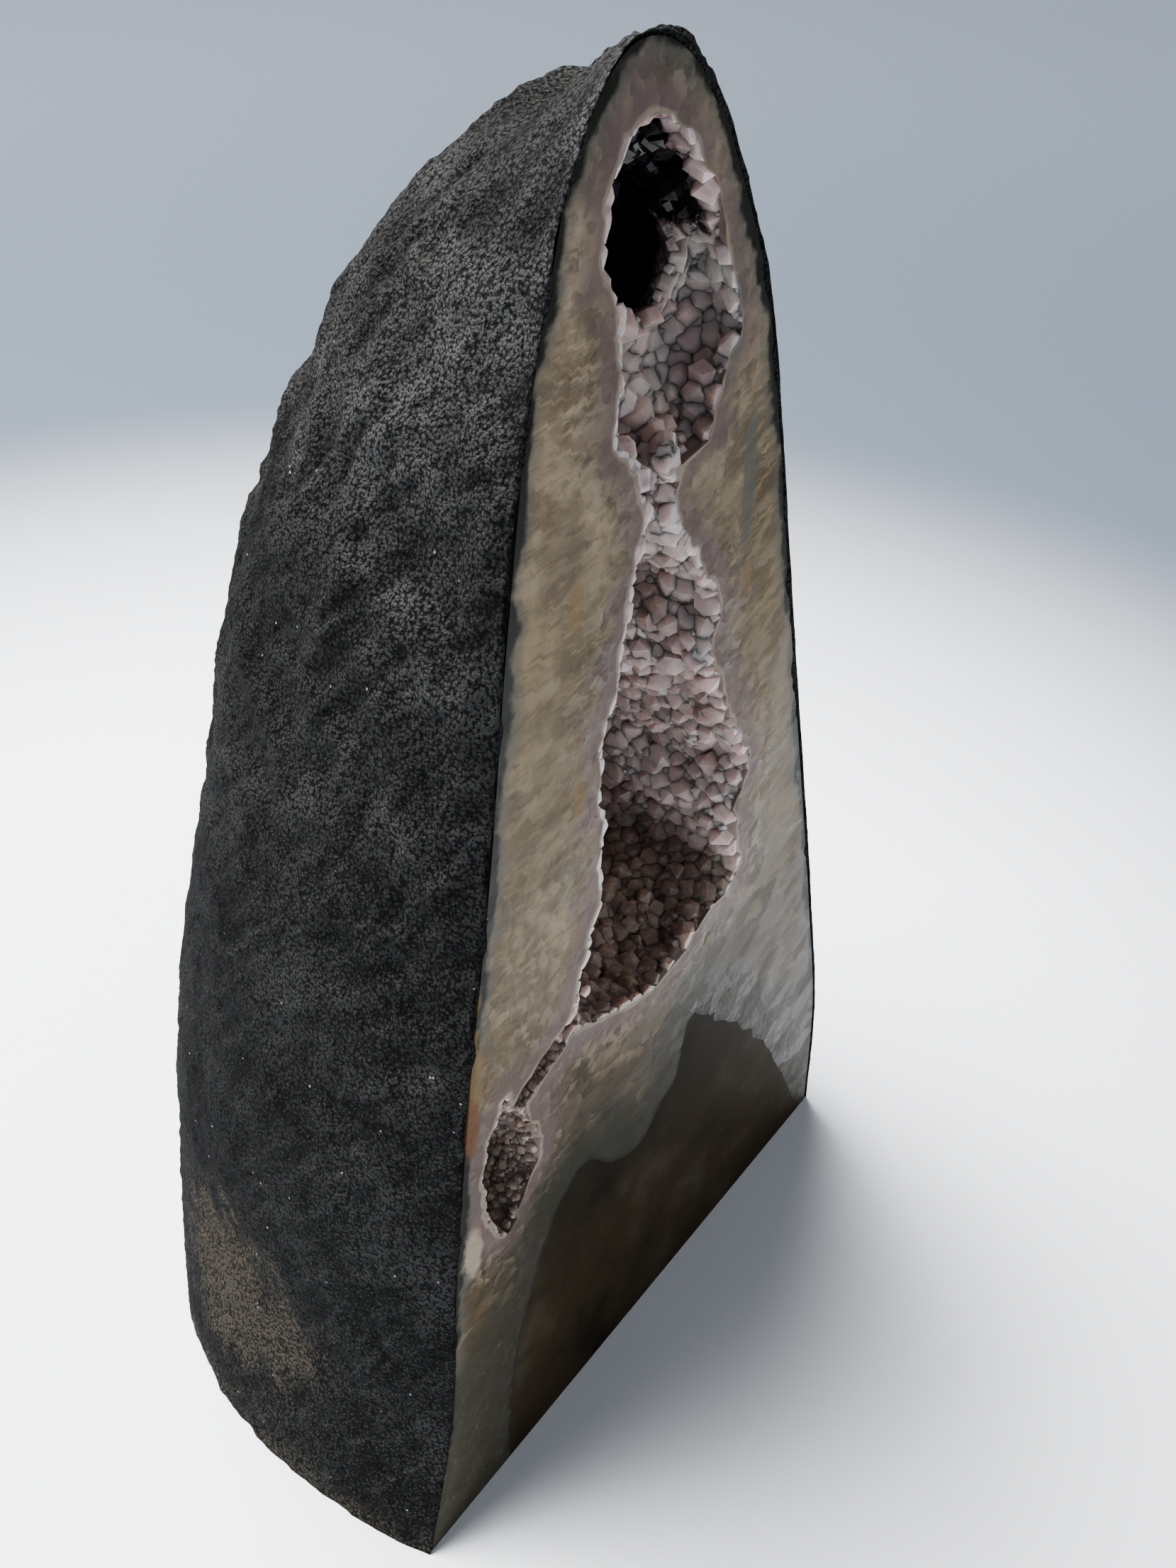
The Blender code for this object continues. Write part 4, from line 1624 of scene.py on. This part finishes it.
@dataclass(frozen=True)
class Druse:
    """The crust of crystal points that lines hollows.

    Attributes:
        name: The piece's name.
        density: How many places are tried on a square centimetre.
        small: Radius of the smallest points.
        large: Radius of the largest points.
        seed: Which random crust it is.
    """

    name: str
    density: float = 110.0
    small: float = 0.9 * MM
    large: float = 4.0 * MM
    seed: int = 1

    def points(self) -> list[bpy.types.Mesh]:
        """Makes shapes of crystal point: six-sided prisms with uneven blunt tips, one metre in radius.

        Returns:
            Eight meshes.
        """
        rng = random.Random(self.seed * 101)
        shapes = []
        for number in range(8):
            bm = bmesh.new()
            made = bmesh.ops.create_cone(bm, cap_ends=True, segments=6, radius1=1.0, radius2=0.86, depth=2.2)
            top = max(bm.faces, key=lambda face: face.calc_center_median().z)
            tip = bmesh.ops.poke(bm, faces=[top], offset=rng.uniform(0.35, 0.7))["verts"][0]
            tip.co += Vector((rng.uniform(-0.35, 0.35), rng.uniform(-0.35, 0.35), -0.7))
            for vert in made["verts"]:
                vert.co.z += rng.uniform(-0.95, -0.55) if vert.co.z > 0 else 0
                vert.co.xy *= rng.uniform(0.84, 1.12)
            bmesh.ops.recalc_face_normals(bm, faces=bm.faces)
            mesh = bpy.data.meshes.new(f"point_{number}")
            bm.to_mesh(mesh)
            bm.free()
            mesh.attributes.new("tint", "FLOAT", "POINT")
            shapes.append(mesh)
        return shapes

    def seats(self, wall: Array, others: Sequence[Hollow], rng: random.Random) -> list[Seat]:
        """Places, inward directions and radii for the crystals, larger ones first.

        Args:
            wall: Grid of places on the hollow's wall.
            others: The hollows that run into this one, where its crystals would hang in the air.
            rng: The source of chance.

        Returns:
            One tuple for each crystal.
        """
        centre = np.median(wall, axis=1, keepdims=True)
        normals = -grid_normals(wall, centre)
        area = np.linalg.norm(np.cross(np.diff(wall, axis=1)[:-1], np.diff(wall, axis=0)[:, :-1]), axis=2)
        weights = np.where(wall[:-1, :-1, 1] > SHIFT[1] + 0.3 * MM, area, 0).reshape(-1)
        tries = round(weights.sum() * 1e4 * self.density)
        picks = rng.choices(range(weights.size), weights=weights.tolist(), k=tries)
        larger = self.large - self.small
        radii = sorted((self.small + larger * rng.random() ** 2.6 for _ in picks), reverse=True)
        taken = {}
        result = []
        for pick, radius in zip(picks, radii):
            row, column = divmod(pick, wall.shape[1] - 1)
            a, b = rng.random(), rng.random()
            corners = wall[row : row + 2, column : column + 2]
            place = (corners[0, 0] * (1 - a) + corners[0, 1] * a) * (1 - b)
            place = place + (corners[1, 0] * (1 - a) + corners[1, 1] * a) * b
            if any(other.holds(place) for other in others):
                continue
            key = tuple((place // self.large).astype(int))
            around = [
                other
                for x in (-1, 0, 1)
                for y in (-1, 0, 1)
                for z in (-1, 0, 1)
                for other in taken.get((key[0] + x, key[1] + y, key[2] + z), ())
            ]
            if any(np.linalg.norm(place - spot) < 0.46 * (radius + size) for spot, size in around):
                continue
            taken.setdefault(key, []).append((place, radius))
            lean = Vector([rng.gauss(0, 0.17) for _ in range(3)])
            result.append((Vector(place), (Vector(normals[row, column]) + lean).normalized(), radius))
        return result

    def build(self, walls: dict[Hollow, Array], finish: Material) -> Piece:
        """Sets the crystals on the walls and saws off what stands in front of the face.

        Args:
            walls: Grid of places on the wall of each hollow that it lines.
            finish: The crystals' material.

        Returns:
            The crust as one piece.
        """
        rng = random.Random(self.seed)
        bm = bmesh.new()
        shapes = self.points()
        for hollow, wall in walls.items():
            others = [other for other in HOLLOWS if other is not hollow]
            for place, inward, radius in self.seats(wall, others, rng):
                copy = rng.choice(shapes).copy()
                copy.attributes["tint"].data.foreach_set("value", [rng.random()] * len(copy.vertices))
                turn = inward.to_track_quat("Z", "Y").to_matrix().to_4x4()
                turn = turn @ Matrix.Rotation(rng.uniform(0, math.pi), 4, "Z")
                size = Matrix.Diagonal((radius, radius, radius * rng.uniform(0.45, 0.85), 1))
                copy.transform(Matrix.Translation(place) @ turn @ size)
                bm.from_mesh(copy)
                bpy.data.meshes.remove(copy)
        front = (0, SHIFT[1] + 0.05 * MM, 0)
        whole = [*bm.verts, *bm.edges, *bm.faces]
        cut = bmesh.ops.bisect_plane(bm, geom=whole, plane_co=front, plane_no=(0, -1, 0), clear_outer=True)
        sawn = [item for item in cut["geom_cut"] if isinstance(item, bmesh.types.BMEdge) and item.is_boundary]
        bmesh.ops.holes_fill(bm, edges=sawn, sides=0)
        bmesh.ops.recalc_face_normals(bm, faces=bm.faces)
        piece = add_piece(self.name, bm, finish)
        piece.data.shade_smooth()
        piece.data.set_sharp_from_angle(angle=math.radians(26))
        store(piece.data, "inward", mesh_places(piece.data)[:, 1] - SHIFT[1])
        for shape in shapes:
            bpy.data.meshes.remove(shape)
        return piece


# ------------------------------------------------------------------------------------------------------------
# Studio


@dataclass
class Studio:
    """A floor that sweeps up all round, pale in a painted pool of light round the stone, soft lights and the
    camera.

    Attributes:
        eye: The camera's place from the foot of the sawn face's left edge.
        turn: How far the camera is turned to the right, in degrees.
        down: How far it looks down, in degrees.
        lens: Its focal length in mm on a 36 mm tall frame.
    """

    eye: tuple[float, float, float] = (-0.1452, -0.1595, 0.4407)
    turn: float = 53.4
    down: float = 40.0
    lens: float = 39.06

    def camera(self) -> None:
        """Places the camera."""
        data = bpy.data.cameras.new("camera")
        data.sensor_fit = "VERTICAL"
        data.sensor_height = 36
        data.lens = self.lens
        data.clip_start = 0.01
        made = bpy.data.objects.new("camera", data)
        made.location = Vector(self.eye) + Vector(SHIFT)
        made.rotation_euler = (math.radians(90 - self.down), 0, -math.radians(self.turn))
        bpy.context.scene.collection.objects.link(made)
        bpy.context.scene.camera = made

    def light(self, name: str, place: tuple, aim: tuple, size: float, power: float, colour: Colour) -> None:
        """Adds a soft square light.

        Args:
            name: Its name.
            place: Where it stands.
            aim: The place that it faces.
            size: Length of its side.
            power: Its power in watts.
            colour: Its colour.
        """
        data = bpy.data.lights.new(name, "AREA")
        data.size = size
        data.energy = power
        data.color = colour
        made = bpy.data.objects.new(name, data)
        made.location = place
        made.rotation_euler = (Vector(aim) - Vector(place)).to_track_quat("-Z", "Y").to_euler()
        bpy.context.scene.collection.objects.link(made)

    def floor(self) -> None:
        """Adds the floor, which curves up into a wall all round."""
        bm = bmesh.new()
        profile = [(0, 0), (0.9, 0), (1.3, 0), (1.62, 0.06), (1.85, 0.25), (1.95, 0.6), (1.98, 1.5)]
        verts = [bm.verts.new((x, 0, z)) for x, z in profile]
        edges = [bm.edges.new(pair) for pair in zip(verts, verts[1:])]
        bmesh.ops.spin(
            bm, geom=verts + edges, cent=(0, 0, 0), axis=(0, 0, 1), angle=math.tau, steps=96, use_merge=True
        )
        bmesh.ops.remove_doubles(bm, verts=bm.verts, dist=1e-6)
        bmesh.ops.recalc_face_normals(bm, faces=bm.faces)
        bmesh.ops.reverse_faces(bm, faces=bm.faces)
        for face in bm.faces:
            face.smooth = True
        material, wire, shader, place = Finish("studio_floor", roughness=0.7, gloss=0.1).start()
        # Painted light: the floor is pale in a pool round the stone and darkens to blue-grey further out.
        moved = wire.vector("ADD", place, (0.09, -0.02, 0)).outputs[0]
        far = wire.vector("LENGTH", moved).outputs["Value"]
        painted_light_pool = wire.lay((0.86, 0.89, 0.945), (0.085, 0.105, 0.135), far, 0.26, 0.60)
        colour = wire.lay(painted_light_pool, (0.145, 0.172, 0.210), far, 0.66, 1.5)
        wire.join(colour, shader, "Base Color")
        add_piece("studio_floor", bm, material)

    def world(self) -> None:
        """Sets the pale, cool light that comes from all round."""
        world = bpy.data.worlds.new("world")
        world.use_nodes = True
        background = world.node_tree.nodes["Background"]
        background.inputs["Color"].default_value = (0.50, 0.62, 0.95, 1)
        background.inputs["Strength"].default_value = 0.08
        bpy.context.scene.world = world

    def build(self) -> None:
        """Builds the whole studio but for its camera."""
        self.floor()
        self.world()
        self.light("back", (0.11, 0.63, 1.50), (0, 0, 0.15), 0.9, 98, (1.0, 0.98, 0.96))
        self.light("left", (-0.36, 0.60, 1.45), (0, 0, 0.15), 0.9, 86, (1.0, 0.98, 0.96))
        self.light("front", (0.30, -1.30, 0.50), (0, 0, 0.27), 0.8, 5.6, (1.0, 0.93, 0.86))


def main() -> None:
    """Builds the geode's looks."""
    logging.basicConfig(level=logging.INFO, format="%(message)s")
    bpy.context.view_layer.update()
    studio = Studio()
    studio.camera()
    studio.build()

    grit, mottle, mosaic = grit_group(), mottle_group(), mosaic_group()
    cement = CementFinish("cement", roughness=0.75, gloss=0.25, ior=1.15).make(grit, mottle)
    quartz = QuartzFinish("quartz", roughness=0.33, subsurface=0.15, reach=3 * MM, gloss=0.25)
    quartz = quartz.make(mottle, mosaic)
    basalt = BasaltFinish("basalt", roughness=0.6, gloss=0.12).make(mottle)
    amethyst = AmethystFinish("amethyst", roughness=0.2, subsurface=0.9, reach=7 * MM, ior=1.4)
    amethyst = amethyst.make(mottle, mosaic)

    coat = CementCoat().build(cement)
    (wall, rock), walls = Stone().build(quartz, basalt)
    upper = Druse("upper_druse", seed=3).build({UPPER: walls[UPPER], PIT: walls[PIT]}, amethyst)
    lower = Druse("lower_druse", seed=5).build({LOWER: walls[LOWER]}, amethyst)
    fine = Druse("vug_druse", density=150, small=0.6 * MM, large=1.9 * MM, seed=7)
    vug = fine.build({VUG: walls[VUG], CRACK: walls[CRACK]}, amethyst)

    for piece, node, slot in (
        (coat, "cement_coat", "cement"),
        (wall, "quartz_shell", "quartz"),
        (rock, "basalt_matrix", "basalt"),
        (upper, "upper_crystals", "amethyst"),
        (lower, "lower_crystals", "amethyst"),
        (vug, "vug_crystals", "amethyst"),
    ):
        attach(piece, "root")
        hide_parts(node)
        log.info("%s: %d faces", piece.name, len(piece.data.polygons))


if __name__ == "__main__":
    main()
